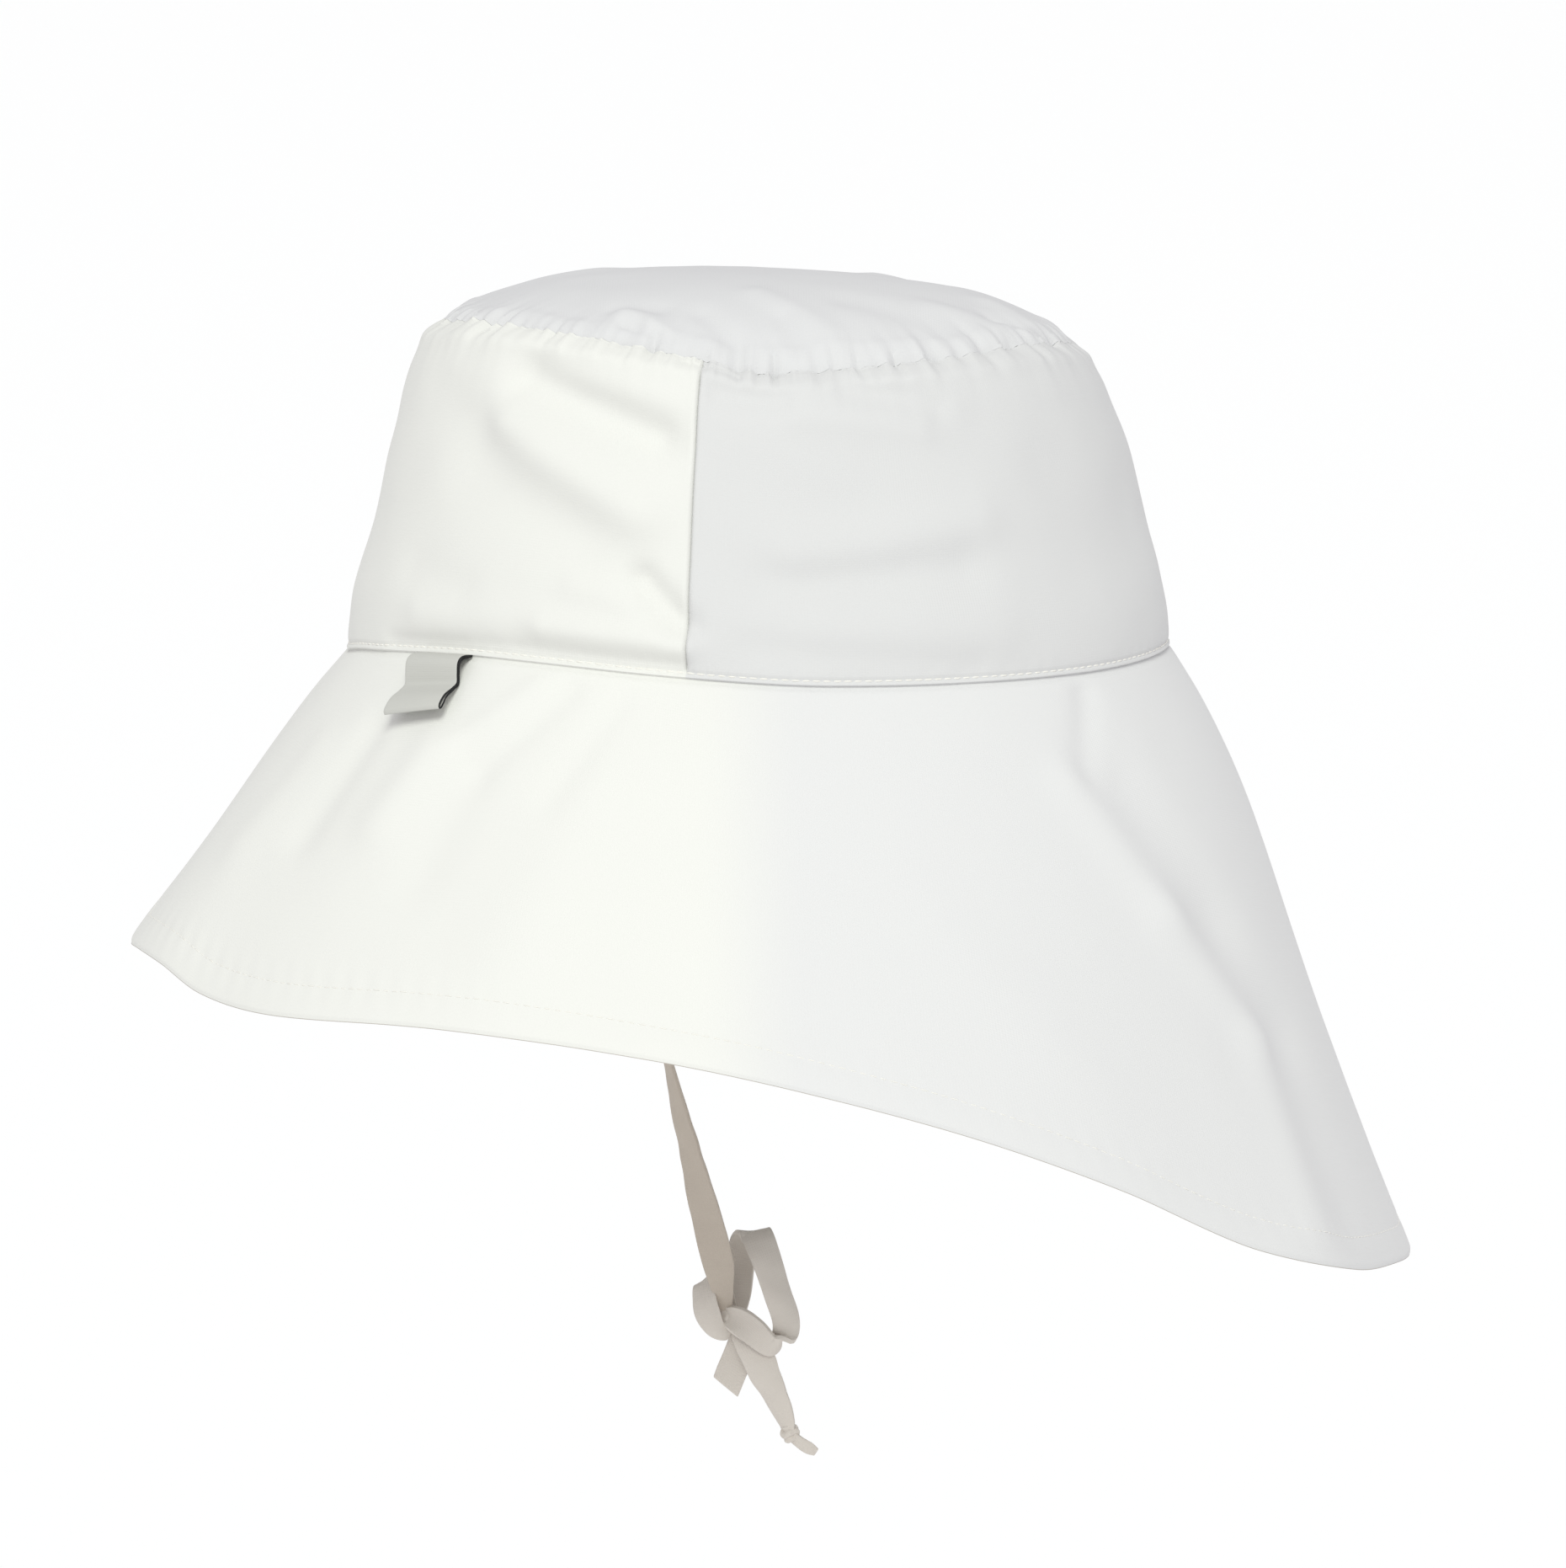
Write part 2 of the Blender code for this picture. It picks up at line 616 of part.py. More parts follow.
def knot_bmesh(middle, radius):
    bm = bmesh.new()
    bmesh.ops.create_uvsphere(bm, u_segments=KNOT_FACETS, v_segments=KNOT_RINGS, radius=radius)
    bmesh.ops.translate(bm, verts=bm.verts, vec=middle)
    return bm


def build_long_end(material):
    """The long loose end, thickened where it has a small knot of its own."""
    route = stop_route(LONG_END, LONG_END_LENGTH, False)
    last = len(route) - 1
    thick = []
    for i, (middle, face, width, thickness) in enumerate(route):
        away = (i / last - END_KNOT_SHARE) / 0.09
        swell = math.exp(-away * away)
        thick.append(
            (
                middle,
                face,
                width + (2 * END_KNOT_RADIUS - width) * swell,
                thickness + (2 * END_KNOT_RADIUS - thickness) * swell,
            )
        )
    return make_object("tie_end_long", band_bmesh(thick), material)


def build():
    for obj in list(bpy.data.objects):
        bpy.data.objects.remove(obj, do_unlink=True)
    outer, inner = skin()
    tip_cloth = make_material("tip_cloth", (0.86, 0.86, 0.84), 0.85)
    front_cloth = make_material("front_panel_cloth", (0.88, 0.87, 0.83), 0.85)
    back_cloth = make_material("back_panel_cloth", (0.86, 0.86, 0.85), 0.85)
    brim_cloth = make_material("brim_cloth", (0.88, 0.88, 0.85), 0.85)
    tag_cloth = make_material("tag_cloth", (0.62, 0.61, 0.58), 0.7)
    tie_cloth = make_material("tie_cloth", (0.80, 0.77, 0.72), 0.85)
    build_tip(outer, inner, tip_cloth)
    build_crown_panel("crown_front_panel", outer, inner, 0, FRONT_COLUMNS, front_cloth)
    both = FRONT_COLUMNS + BACK_COLUMNS
    build_crown_panel("crown_back_panel", outer, inner, FRONT_COLUMNS, both, back_cloth)
    build_brim(outer, inner, brim_cloth)
    build_tag(tag_cloth)
    build_tie("chin_tie_left", True, tie_cloth)
    build_tie("chin_tie_right", False, tie_cloth)
    make_object("bow_knot", knot_bmesh(knot_middle(), KNOT_RADIUS), tie_cloth)
    large = stop_route(LARGE_LOOP, LOOP_HEIGHT, True)
    small = stop_route(SMALL_LOOP, SMALL_LOOP_REACH, True)
    make_object("bow_loop_large", band_bmesh(large), tie_cloth)
    make_object("bow_loop_small", band_bmesh(small), tie_cloth)
    short = stop_route(SHORT_END, SHORT_END_LENGTH, False)
    make_object("tie_end_short", band_bmesh(short), tie_cloth)
    build_long_end(tie_cloth)


build()
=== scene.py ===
"""A baby's flap sun hat in white cotton poplin, with a folded side tag and chin ties in a bow.

Metres, +Z up. The front of the hat is towards -Y and the wearer's left towards +X. Turns are
degrees round the hat: 0 at the front, 90 at the wearer's left, 180 at the back, 270 at the right.
"""

import functools
import math
from collections import namedtuple

import bmesh
import bpy
from mathutils import Matrix, Vector, noise


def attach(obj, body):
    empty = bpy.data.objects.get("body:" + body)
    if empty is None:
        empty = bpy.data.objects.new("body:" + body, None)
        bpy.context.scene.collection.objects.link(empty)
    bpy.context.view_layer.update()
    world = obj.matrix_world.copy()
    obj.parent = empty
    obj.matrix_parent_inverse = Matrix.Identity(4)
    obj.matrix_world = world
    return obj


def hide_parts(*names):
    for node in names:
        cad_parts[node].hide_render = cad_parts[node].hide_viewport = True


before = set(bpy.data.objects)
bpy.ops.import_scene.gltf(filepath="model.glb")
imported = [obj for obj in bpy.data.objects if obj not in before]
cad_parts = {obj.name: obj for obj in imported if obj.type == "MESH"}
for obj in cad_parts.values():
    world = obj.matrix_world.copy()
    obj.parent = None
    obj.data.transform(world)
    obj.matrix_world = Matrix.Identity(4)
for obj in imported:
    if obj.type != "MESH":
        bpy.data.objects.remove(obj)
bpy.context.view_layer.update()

# Camera
# A long lens on the wearer's left, a little above the brim and square to the hat's length.

CAMERA_AIM = Vector((0, 0.0049, -0.0273))
CAMERA_DISTANCE = 1.35
CAMERA_ELEVATION = math.radians(7.6)
CAMERA_LENS = 155.8

camera_way = Vector((math.cos(CAMERA_ELEVATION), 0, math.sin(CAMERA_ELEVATION)))
bpy.ops.object.camera_add(
    location=CAMERA_AIM + camera_way * CAMERA_DISTANCE,
    rotation=(-camera_way).to_track_quat("-Z", "Y").to_euler(),
)
camera = bpy.context.object
camera.data.lens = CAMERA_LENS
camera.data.clip_end = 200
bpy.context.scene.camera = camera

# Crown side panels
# Two curved pieces of double poplin, one round the front and a longer one round the back, with a
# plain seam at each ear. Their lower edge is pressed under and topstitched, and their upper edge
# is eased into the tip, which leaves small tucks under the seam.

OPENING_LENGTH = 0.1626
OPENING_WIDTH = 0.140
FRONT_SEAM_LIFT = 0.004
TIP_LENGTH = 0.124
TIP_WIDTH = 0.108
CROWN_HEIGHT_FRONT = 0.0655
CROWN_HEIGHT_BACK = 0.0610
CROWN_SIDE_SAG = 0.0042
DOME_HEIGHT = 0.0115
DOME_FULLNESS_FRONT = 3.0
DOME_FULLNESS_BACK = 3.8
SIDE_SEAM_TURN = 80.5
WALL = 0.0012
MM = 0.001

# Real lengths used to turn a share into a distance: one degree round the crown, and its side
CROWN_DEGREE = 1.24 * MM
CROWN_SIDE = 66 * MM

Sag = namedtuple("Sag", "turn share")
TIP_SEAM_SAG = (
    Sag(0, 0.0),
    Sag(30, -0.45),
    Sag(50, -0.35),
    Sag(67, 0.0),
    Sag(80, 0.5),
    Sag(92, 1.0),
    Sag(106, 0.7),
    Sag(121, 0.3),
    Sag(140, -0.2),
    Sag(160, -0.3),
    Sag(180, 0.0),
)
Lift = namedtuple("Lift", "turn share")
BASE_SEAM_LIFT = (
    Lift(0, 0.0),
    Lift(20, 0.55),
    Lift(45, 1.0),
    Lift(60, 0.9),
    Lift(80, 0.45),
    Lift(100, 0.05),
    Lift(140, 0.0),
    Lift(180, 0.25),
)
Lean = namedtuple("Lean", "height front back")
CROWN_LEAN = (
    Lean(0.0, 0.0, 0.0),
    Lean(0.10, 0.03, 0.01),
    Lean(0.20, 0.08, 0.07),
    Lean(0.40, 0.29, 0.235),
    Lean(0.60, 0.44, 0.375),
    Lean(0.70, 0.53, 0.47),
    Lean(0.80, 0.60, 0.60),
    Lean(0.88, 0.69, 0.71),
    Lean(0.95, 0.83, 0.87),
    Lean(1.0, 1.0, 1.0),
)

# Soft ridges and troughs of the side, each from one turn and height to another. Half width and
# rise are in millimetres, and a rise below 0 is a trough.
Crease = namedtuple("Crease", "turn height end_turn end_height half_width rise")
CROWN_CREASES = (
    Crease(50, 0.840, 74, 0.730, 5.2, -3.6),
    Crease(49, 0.720, 72, 0.500, 6.0, 2.6),
    Crease(28, 0.800, 46, 0.640, 6.0, -0.7),
    Crease(44, 0.560, 64, 0.400, 7.0, -0.9),
    Crease(74, 0.290, 79.8, 0.170, 3.2, -2.4),
    Crease(64, 0.250, 72, 0.215, 3.0, 0.6),
    Crease(60, 0.120, 79.8, 0.115, 3.2, 1.6),
    Crease(36, 0.125, 56, 0.125, 3.6, 0.6),
    Crease(30, 0.032, 79.8, 0.036, 2.2, -0.9),
    Crease(33, 0.250, 44, 0.200, 5.0, -0.7),
    Crease(22, 0.420, 34, 0.500, 7.0, 0.6),
    Crease(77, 0.978, 87, 0.972, 0.4, -0.8),
    Crease(84, 0.900, 94, 0.905, 3.0, -1.0),
    Crease(96, 0.870, 116, 0.800, 4.0, 0.9),
    Crease(105, 0.930, 120, 0.850, 3.0, -1.0),
    Crease(96, 0.420, 124, 0.500, 5.0, 1.0),
    Crease(92, 0.330, 120, 0.350, 5.0, -1.1),
    Crease(88, 0.620, 104, 0.560, 7.0, -0.8),
    Crease(100, 0.180, 124, 0.160, 6.0, 0.6),
    Crease(128, 0.780, 142, 0.640, 8.0, -0.8),
    Crease(90, 0.120, 120, 0.060, 4.0, -0.5),
    Crease(140, 0.620, 160, 0.480, 8.0, -0.6),
    Crease(148, 0.200, 172, 0.300, 7.0, 0.5),
    Crease(312, 0.860, 289, 0.780, 3.6, -1.2),
    Crease(310, 0.750, 290, 0.600, 5.0, 0.8),
    Crease(284, 0.290, 280.5, 0.180, 2.4, -0.8),
    Crease(298, 0.130, 281, 0.130, 2.0, 0.6),
    Crease(322, 0.060, 281, 0.072, 2.2, -0.6),
    Crease(258, 0.930, 242, 0.870, 2.8, -0.7),
    Crease(262, 0.460, 238, 0.480, 4.5, 0.5),
    Crease(266, 0.350, 245, 0.380, 3.6, -0.5),
    Crease(215, 0.600, 200, 0.450, 8.0, -0.5),
)

# Tucks where the tip is eased into the crown: the turn, and the depth, half width and reach of
# each in millimetres
Tuck = namedtuple("Tuck", "turn depth half_width reach")
TIP_TUCKS = (
    Tuck(6, 0.3, 1.2, 5),
    Tuck(16, 0.4, 1.3, 6),
    Tuck(25, 0.3, 1.1, 5),
    Tuck(34, 0.4, 1.1, 5),
    Tuck(38, 0.7, 1.1, 6),
    Tuck(42, 0.8, 1.2, 7),
    Tuck(46, 0.4, 1.0, 5),
    Tuck(57, 0.3, 1.3, 6),
    Tuck(65.5, 1.0, 1.5, 10),
    Tuck(71, 0.8, 1.3, 8),
    Tuck(76, 0.4, 1.1, 5),
    Tuck(86.5, 1.1, 1.7, 12),
    Tuck(93, 1.1, 1.4, 9),
    Tuck(98, 0.4, 1.1, 6),
    Tuck(108, 0.4, 1.4, 7),
    Tuck(117, 0.4, 1.2, 6),
    Tuck(123.5, 1.0, 1.5, 10),
    Tuck(129, 0.4, 1.1, 6),
    Tuck(135, 1.0, 1.6, 11),
    Tuck(141, 0.4, 1.2, 6),
    Tuck(148.5, 1.0, 1.6, 12),
    Tuck(156, 0.7, 1.4, 8),
    Tuck(166, 0.3, 1.2, 6),
    Tuck(177, 0.4, 1.4, 7),
    Tuck(188, 0.6, 1.4, 8),
    Tuck(199, 0.4, 1.2, 6),
    Tuck(209, 0.8, 1.5, 9),
    Tuck(217, 0.4, 1.2, 6),
    Tuck(228, 0.9, 1.6, 10),
    Tuck(236, 0.4, 1.2, 6),
    Tuck(247, 0.5, 1.4, 7),
    Tuck(256, 0.7, 1.4, 8),
    Tuck(266, 0.9, 1.6, 10),
    Tuck(273, 0.4, 1.2, 6),
    Tuck(288, 0.7, 1.4, 8),
    Tuck(296, 0.4, 1.2, 6),
    Tuck(306, 0.8, 1.5, 9),
    Tuck(315, 0.4, 1.2, 6),
    Tuck(324, 0.6, 1.4, 8),
    Tuck(334, 0.3, 1.2, 6),
    Tuck(345, 0.4, 1.3, 6),
    Tuck(355, 0.3, 1.1, 5),
)
TUCK_SHARE_BELOW_SEAM = 0.75
GATHER_DEPTH = 0.8 * MM
GATHER_REACH = 8 * MM
SEAM_ROLL = 0.8 * MM
SEAM_WANDER = 1.1 * MM
TIP_DEGREE = 1.01 * MM

# Seams: how deep the cloth dips into each, and the half width of the dip
TIP_SEAM_DIP = 0.45 * MM
TIP_SEAM_HALF = 0.9 * MM
SIDE_SEAM_DIP = 0.70 * MM
SIDE_SEAM_HALF = 0.25 * MM
SIDE_SEAM_LIP = 0.12 * MM
BASE_STITCH_ABOVE = 1.3 * MM
BASE_STITCH_DIP = 0.28 * MM
BASE_WELT_BULGE = 0.30 * MM
BASE_EDGE_TURN = 0.55 * MM
STITCH_PUCKER = 0.10 * MM

FRONT_CLOTH_COLUMNS = 250
BACK_CLOTH_COLUMNS = 320
CROWN_CLOTH_ROWS = 70


def eased(rows, place, column, at):
    """A column's value between a table's rows, on a smooth curve through them, level at its ends."""
    places = [getattr(row, place) for row in rows]
    values = [getattr(row, column) for row in rows]
    at = min(max(at, places[0]), places[-1])
    i = max(k for k in range(len(rows) - 1) if places[k] <= at)

    def slope(k):
        if k in (0, len(rows) - 1):
            return 0.0
        return (values[k + 1] - values[k - 1]) / (places[k + 1] - places[k - 1])

    span = places[i + 1] - places[i]
    u = (at - places[i]) / span
    start = (1 + 2 * u) * (1 - u) ** 2 * values[i] + u * (1 - u) ** 2 * span * slope(i)
    end = u * u * (3 - 2 * u) * values[i + 1] - u * u * (1 - u) * span * slope(i + 1)
    return start + end


def mirrored(turn):
    turn %= 360
    return min(turn, 360 - turn)


def turn_between(turn, middle):
    return (turn - middle + 180) % 360 - 180


def on_oval(length, width, turn):
    t = math.radians(turn)
    return Vector((width / 2 * math.sin(t), -length / 2 * math.cos(t), 0))


@functools.cache
def outward(turn):
    t = math.radians(turn)
    return Vector((OPENING_LENGTH * math.sin(t), -OPENING_WIDTH * math.cos(t), 0)).normalized()


@functools.cache
def base_point(turn):
    point = on_oval(OPENING_LENGTH, OPENING_WIDTH, turn)
    point.z = FRONT_SEAM_LIFT * eased(BASE_SEAM_LIFT, "turn", "share", mirrored(turn))
    return point


@functools.cache
def tip_seam_sag(turn):
    return CROWN_SIDE_SAG * eased(TIP_SEAM_SAG, "turn", "share", mirrored(turn))


@functools.cache
def crown_inward(turn, height):
    back = mirrored(turn) / 180
    front_lean = eased(CROWN_LEAN, "height", "front", height)
    back_lean = eased(CROWN_LEAN, "height", "back", height)
    return front_lean * (1 - back) + back_lean * back


def tip_point(turn, radius):
    """The smooth domed tip, from its middle at radius 0 to its seam at radius 1."""
    point = on_oval(TIP_LENGTH, TIP_WIDTH, turn) * radius
    back = mirrored(turn) / 180
    fullness = DOME_FULLNESS_FRONT + (DOME_FULLNESS_BACK - DOME_FULLNESS_FRONT) * back
    middle = (CROWN_HEIGHT_FRONT + CROWN_HEIGHT_BACK) / 2
    slope = (CROWN_HEIGHT_FRONT - CROWN_HEIGHT_BACK) * point.y / TIP_LENGTH
    dome = DOME_HEIGHT * (1 - radius**fullness)
    point.z = middle - slope + dome - tip_seam_sag(turn) * radius**4
    return point


@functools.cache
def tip_seam_point(turn):
    return tip_point(turn, 1)


def crown_point(turn, height):
    """The smooth crown side, from the base seam at height 0 to the tip seam at height 1."""
    low, high = base_point(turn), tip_seam_point(turn)
    point = low.lerp(high, crown_inward(turn, height))
    point.z = low.z + (high.z - low.z) * height
    return point


def hill(distance, half_width):
    return math.exp(-((distance / half_width) ** 2))


def ridge(across, up, run_across, run_up, half_width):
    """How high a soft ridge of height 1 is at a point given from its start, as its run is."""
    length = run_across * run_across + run_up * run_up
    share = (across * run_across + up * run_up) / length if length else 0
    share = min(max(share, 0), 1)
    return hill(math.hypot(across - share * run_across, up - share * run_up), half_width)


def crown_creases(turn, height):
    rise = 0
    for c in CROWN_CREASES:
        rise += c.rise * MM * ridge(
            turn_between(turn, c.turn) * CROWN_DEGREE,
            (height - c.height) * CROWN_SIDE,
            turn_between(c.end_turn, c.turn) * CROWN_DEGREE,
            (c.end_height - c.height) * CROWN_SIDE,
            c.half_width * MM,
        )
    return rise


def tucks(turn, from_seam, share):
    """How deep the tucks of the tip seam are at a distance from it."""
    depth = 0
    for t in TIP_TUCKS:
        away = abs(turn_between(turn, t.turn)) * TIP_DEGREE
        reach = t.reach * MM * share
        if away < 4 * t.half_width * MM and from_seam < reach:
            fade = (1 - from_seam / reach) ** 1.5
            depth += t.depth * MM * share * fade * hill(away, t.half_width * MM)
    if from_seam < GATHER_REACH:
        uneven = noise.noise(Vector((turn * 0.55, from_seam / MM * 0.10, 3)))
        uneven += 0.6 * noise.noise(Vector((turn * 1.2, from_seam / MM * 0.16, 8)))
        depth += GATHER_DEPTH * (0.3 + uneven) * (1 - from_seam / GATHER_REACH) ** 1.5
    return depth


def seam_wander(turn):
    """How far the tip seam wanders up or down from its smooth line."""
    uneven = noise.noise(Vector((turn * 0.16, 5, 1))) + 0.5 * noise.noise(Vector((turn * 0.5, 9, 4)))
    return SEAM_WANDER * uneven


def slack(place, size, height):
    """The small unevenness of sewn cloth."""
    return height * noise.noise(place / size)


def crown_cloth(turn, height, seam_turn):
    """The crown side as sewn, with its seams, creases and tucks. seam_turn is the nearer seam's."""
    point = crown_point(turn, height)
    low = height * CROWN_SIDE
    high = (1 - height) * CROWN_SIDE * 1.3
    away = abs(turn_between(turn, seam_turn)) * CROWN_DEGREE
    clear = min(1, low / (4 * MM), high / (5 * MM))
    shift = crown_creases(turn, height) * min(1, low / (1.5 * MM), high / (3 * MM))
    shift += slack(point, 0.028, 0.35 * MM) * clear + slack(point, 0.009, 0.10 * MM) * clear
    above_welt = min(1, max(0, low / MM - 1.2))
    shift -= SIDE_SEAM_DIP * hill(away, SIDE_SEAM_HALF) * above_welt
    shift += SIDE_SEAM_LIP * hill(away - 1.1 * MM, 0.7 * MM) * above_welt
    shift -= BASE_STITCH_DIP * hill(low - BASE_STITCH_ABOVE, 0.45 * MM)
    shift += BASE_WELT_BULGE * hill(low - BASE_STITCH_ABOVE * 0.45, 0.5 * MM)
    shift -= BASE_EDGE_TURN * hill(low, 0.30 * MM)
    stitch_pucker = math.sin(turn * 23.0) * math.sin(turn * 5.3 + 1)
    shift += STITCH_PUCKER * stitch_pucker * hill(low - BASE_STITCH_ABOVE - 1.4 * MM, 1.4 * MM)
    shift += SEAM_ROLL * hill(high - 4.0 * MM, 3.0 * MM)
    dip = TIP_SEAM_DIP * hill(high, TIP_SEAM_HALF) + tucks(turn, high, TUCK_SHARE_BELOW_SEAM)
    dip -= seam_wander(turn) * height**14
    return point + outward(turn) * (shift - dip * 0.6) - Vector((0, 0, dip * 0.8))


def crowded(share, crowding):
    """A share from 0 to 1 moved so that the steps are finer at both ends."""
    return share - crowding * math.sin(2 * math.pi * share) / (2 * math.pi)


def flat_cut(name, columns, rows):
    """A flat piece of cut cloth, a metre each way, as a grid."""
    bpy.ops.object.select_all(action="DESELECT")
    bpy.ops.mesh.primitive_grid_add(x_subdivisions=columns, y_subdivisions=rows, size=1)
    cloth = bpy.context.object
    cloth.name = name
    cloth.data.name = name
    return cloth


def sewn(cloth, place):
    """Lays each point of a flat cut where the sewing holds it. place takes the shares across and
    up, and gives the point and the thread's place on the cloth in millimetres."""
    laid = [place(round(v.co.x + 0.5, 6), round(v.co.y + 0.5, 6)) for v in cloth.data.vertices]
    threads = cloth.data.uv_layers[0].data
    for loop in cloth.data.loops:
        threads[loop.index].uv = laid[loop.vertex_index][1]
    cloth.data.vertices.foreach_set("co", [c for point, thread in laid for c in point])
    cloth.data.update()


def closed_up():
    """Joins the ends of the cloth just sewn, where it meets itself."""
    bpy.ops.object.mode_set(mode="EDIT")
    bpy.ops.mesh.select_all(action="SELECT")
    bpy.ops.mesh.remove_doubles(threshold=0.00001)
    bpy.ops.object.mode_set(mode="OBJECT")


def thickened(cloth, wall, offset, edge):
    """Gives a cloth its wall and rounds its cut edges."""
    solid = cloth.modifiers.new("wall", "SOLIDIFY")
    solid.thickness = wall
    solid.offset = offset
    rounding = cloth.modifiers.new("edge", "BEVEL")
    rounding.width = edge
    rounding.segments = 2
    rounding.limit_method = "ANGLE"
    rounding.angle_limit = math.radians(62)
    bpy.ops.object.modifier_apply(modifier=solid.name)
    bpy.ops.object.modifier_apply(modifier=rounding.name)
    bpy.ops.object.shade_smooth_by_angle(angle=math.radians(55))


def linear(hex_color):
    """A colour's linear values from its sRGB hex value."""
    values = [int(hex_color[i : i + 2], 16) / 255 for i in (1, 3, 5)]
    return (*[v / 12.92 if v <= 0.04045 else ((v + 0.055) / 1.055) ** 2.4 for v in values], 1)


def add_node(tree, kind, settings, inputs):
    """A node with its settings, and its inputs set or linked."""
    node = tree.nodes.new(kind)
    for name, value in settings.items():
        setattr(node, name, value)
    for name, value in inputs.items():
        if isinstance(value, bpy.types.NodeSocket):
            tree.links.new(value, node.inputs[name])
        else:
            node.inputs[name].default_value = value
    return node


# Cotton poplin: plain weave of fine combed yarn, piece-dyed white, pressed. Threads lie about
# 0.25 mm apart; they are drawn 0.5 mm apart, because finer ones don't show.
WEAVE_PITCH = 0.5
WAVE_PERIOD = 0.3142


def poplin(name, light, shade, relief):
    """Woven cotton: a soft matt finish, slightly uneven in colour, with its threads in relief."""
    material = bpy.data.materials.new(name)
    material.use_nodes = True
    tree = material.node_tree
    shader = tree.nodes["Principled BSDF"]
    place = add_node(tree, "ShaderNodeTexCoord", {}, {})
    wave = {"wave_type": "BANDS", "bands_direction": "X"}
    across = {
        "Vector": place.outputs["UV"],
        "Scale": WAVE_PERIOD / WEAVE_PITCH,
        "Distortion": 0.5,
        "Detail": 1.0,
    }
    warp = add_node(tree, "ShaderNodeTexWave", wave, across)
    weft = add_node(tree, "ShaderNodeTexWave", {**wave, "bands_direction": "Y"}, across)
    threads = add_node(
        tree,
        "ShaderNodeMath",
        {"operation": "MULTIPLY"},
        {0: warp.outputs["Fac"], 1: weft.outputs["Fac"]},
    )
    slubs = add_node(
        tree,
        "ShaderNodeTexNoise",
        {},
        {"Vector": place.outputs["UV"], "Scale": 0.45, "Detail": 4.0, "Roughness": 0.6},
    )
    height = add_node(
        tree,
        "ShaderNodeMath",
        {"operation": "MULTIPLY_ADD"},
        {0: slubs.outputs["Fac"], 1: 1.6, 2: threads.outputs["Value"]},
    )
    bump = add_node(
        tree,
        "ShaderNodeBump",
        {},
        {"Height": height.outputs["Value"], "Strength": relief, "Distance": 0.00008},
    )
    clouds = add_node(
        tree,
        "ShaderNodeTexNoise",
        {},
        {"Vector": place.outputs["Object"], "Scale": 26.0, "Detail": 2.0},
    )
    color = add_node(
        tree,
        "ShaderNodeMix",
        {"data_type": "RGBA"},
        {"Factor": clouds.outputs["Fac"], 6: linear(light), 7: linear(shade)},
    )
    tree.links.new(color.outputs[2], shader.inputs["Base Color"])
    tree.links.new(bump.outputs["Normal"], shader.inputs["Normal"])
    shader.inputs["Roughness"].default_value = 0.85
    shader.inputs["Specular IOR Level"].default_value = 0.25
    shader.inputs["Sheen Weight"].default_value = 0.10
    shader.inputs["Sheen Roughness"].default_value = 0.5
    return material


def crown_panel(name, first_turn, last_turn, columns, material):
    """One side panel between two side seams."""

    def place(across, up):
        turn = first_turn + (last_turn - first_turn) * crowded(across, 0.6)
        height = crowded(up, 0.75)
        seam_turn = first_turn if across < 0.5 else last_turn
        thread = (turn * CROWN_DEGREE / MM, height * CROWN_SIDE / MM)
        return crown_cloth(turn, height, seam_turn), thread

    cloth = flat_cut(name, columns, CROWN_CLOTH_ROWS)
    sewn(cloth, place)
    thickened(cloth, WALL, -1, 0.25 * MM)
    cloth.data.materials.append(material)
    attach(cloth, "root")
    return cloth


# Painted light and shade: the front panel's copy of the poplin is lighter and creamier, where the
# key falls, and the back panel's copy is greyer, where the crown turns away.
front_lit_cloth = poplin("cotton poplin painted lit cream", "#DDDDD9", "#DADAD6", 0.20)
back_shaded_cloth = poplin("cotton poplin painted shaded grey", "#D0D0D0", "#CECECE", 0.20)
front_panel = crown_panel(
    "crown_front_panel_cloth",
    -SIDE_SEAM_TURN,
    SIDE_SEAM_TURN,
    FRONT_CLOTH_COLUMNS,
    front_lit_cloth,
)
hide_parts("crown_front_panel")
back_panel = crown_panel(
    "crown_back_panel_cloth",
    SIDE_SEAM_TURN,
    360 - SIDE_SEAM_TURN,
    BACK_CLOTH_COLUMNS,
    back_shaded_cloth,
)
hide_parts("crown_back_panel")

# Crown tip
# An oval of the same poplin, a little larger than the opening it is eased into, so it domes and
# breaks into soft folds that run in from the seam.

TIP_CLOTH_COLUMNS = 480
TIP_CLOTH_ROWS = 46
TIP_RADIUS = 58 * MM

# Soft ridges and troughs of the tip, each from one turn and radius to another, in the units of
# the crown's creases
Fold = namedtuple("Fold", "turn radius end_turn end_radius half_width rise")
TIP_FOLDS = (
    Fold(90, 0.60, 104, 0.88, 3.2, 0.8),
    Fold(78, 0.80, 87, 0.96, 2.6, -0.8),
    Fold(96, 0.78, 98, 0.94, 2.4, -0.7),
    Fold(114, 0.66, 130, 0.90, 4.0, -0.6),
    Fold(136, 0.76, 144, 0.93, 3.4, 0.7),
    Fold(148, 0.86, 156, 0.97, 2.4, -0.9),
    Fold(160, 0.78, 158, 0.94, 3.2, 0.8),
    Fold(62, 0.87, 70, 0.925, 3.0, 1.4),
    Fold(64, 0.93, 73, 0.970, 1.2, -1.2),
    Fold(58, 0.84, 68, 0.80, 2.4, -0.6),
    Fold(30, 0.60, 50, 0.84, 6.0, -0.5),
    Fold(200, 0.55, 214, 0.88, 5.0, -0.8),
    Fold(230, 0.60, 224, 0.92, 4.0, 0.8),
    Fold(262, 0.55, 250, 0.90, 4.5, -0.8),
    Fold(280, 0.60, 292, 0.90, 4.0, 0.8),
    Fold(318, 0.62, 306, 0.90, 4.5, -0.7),
    Fold(345, 0.55, 352, 0.86, 6.0, 0.5),
)


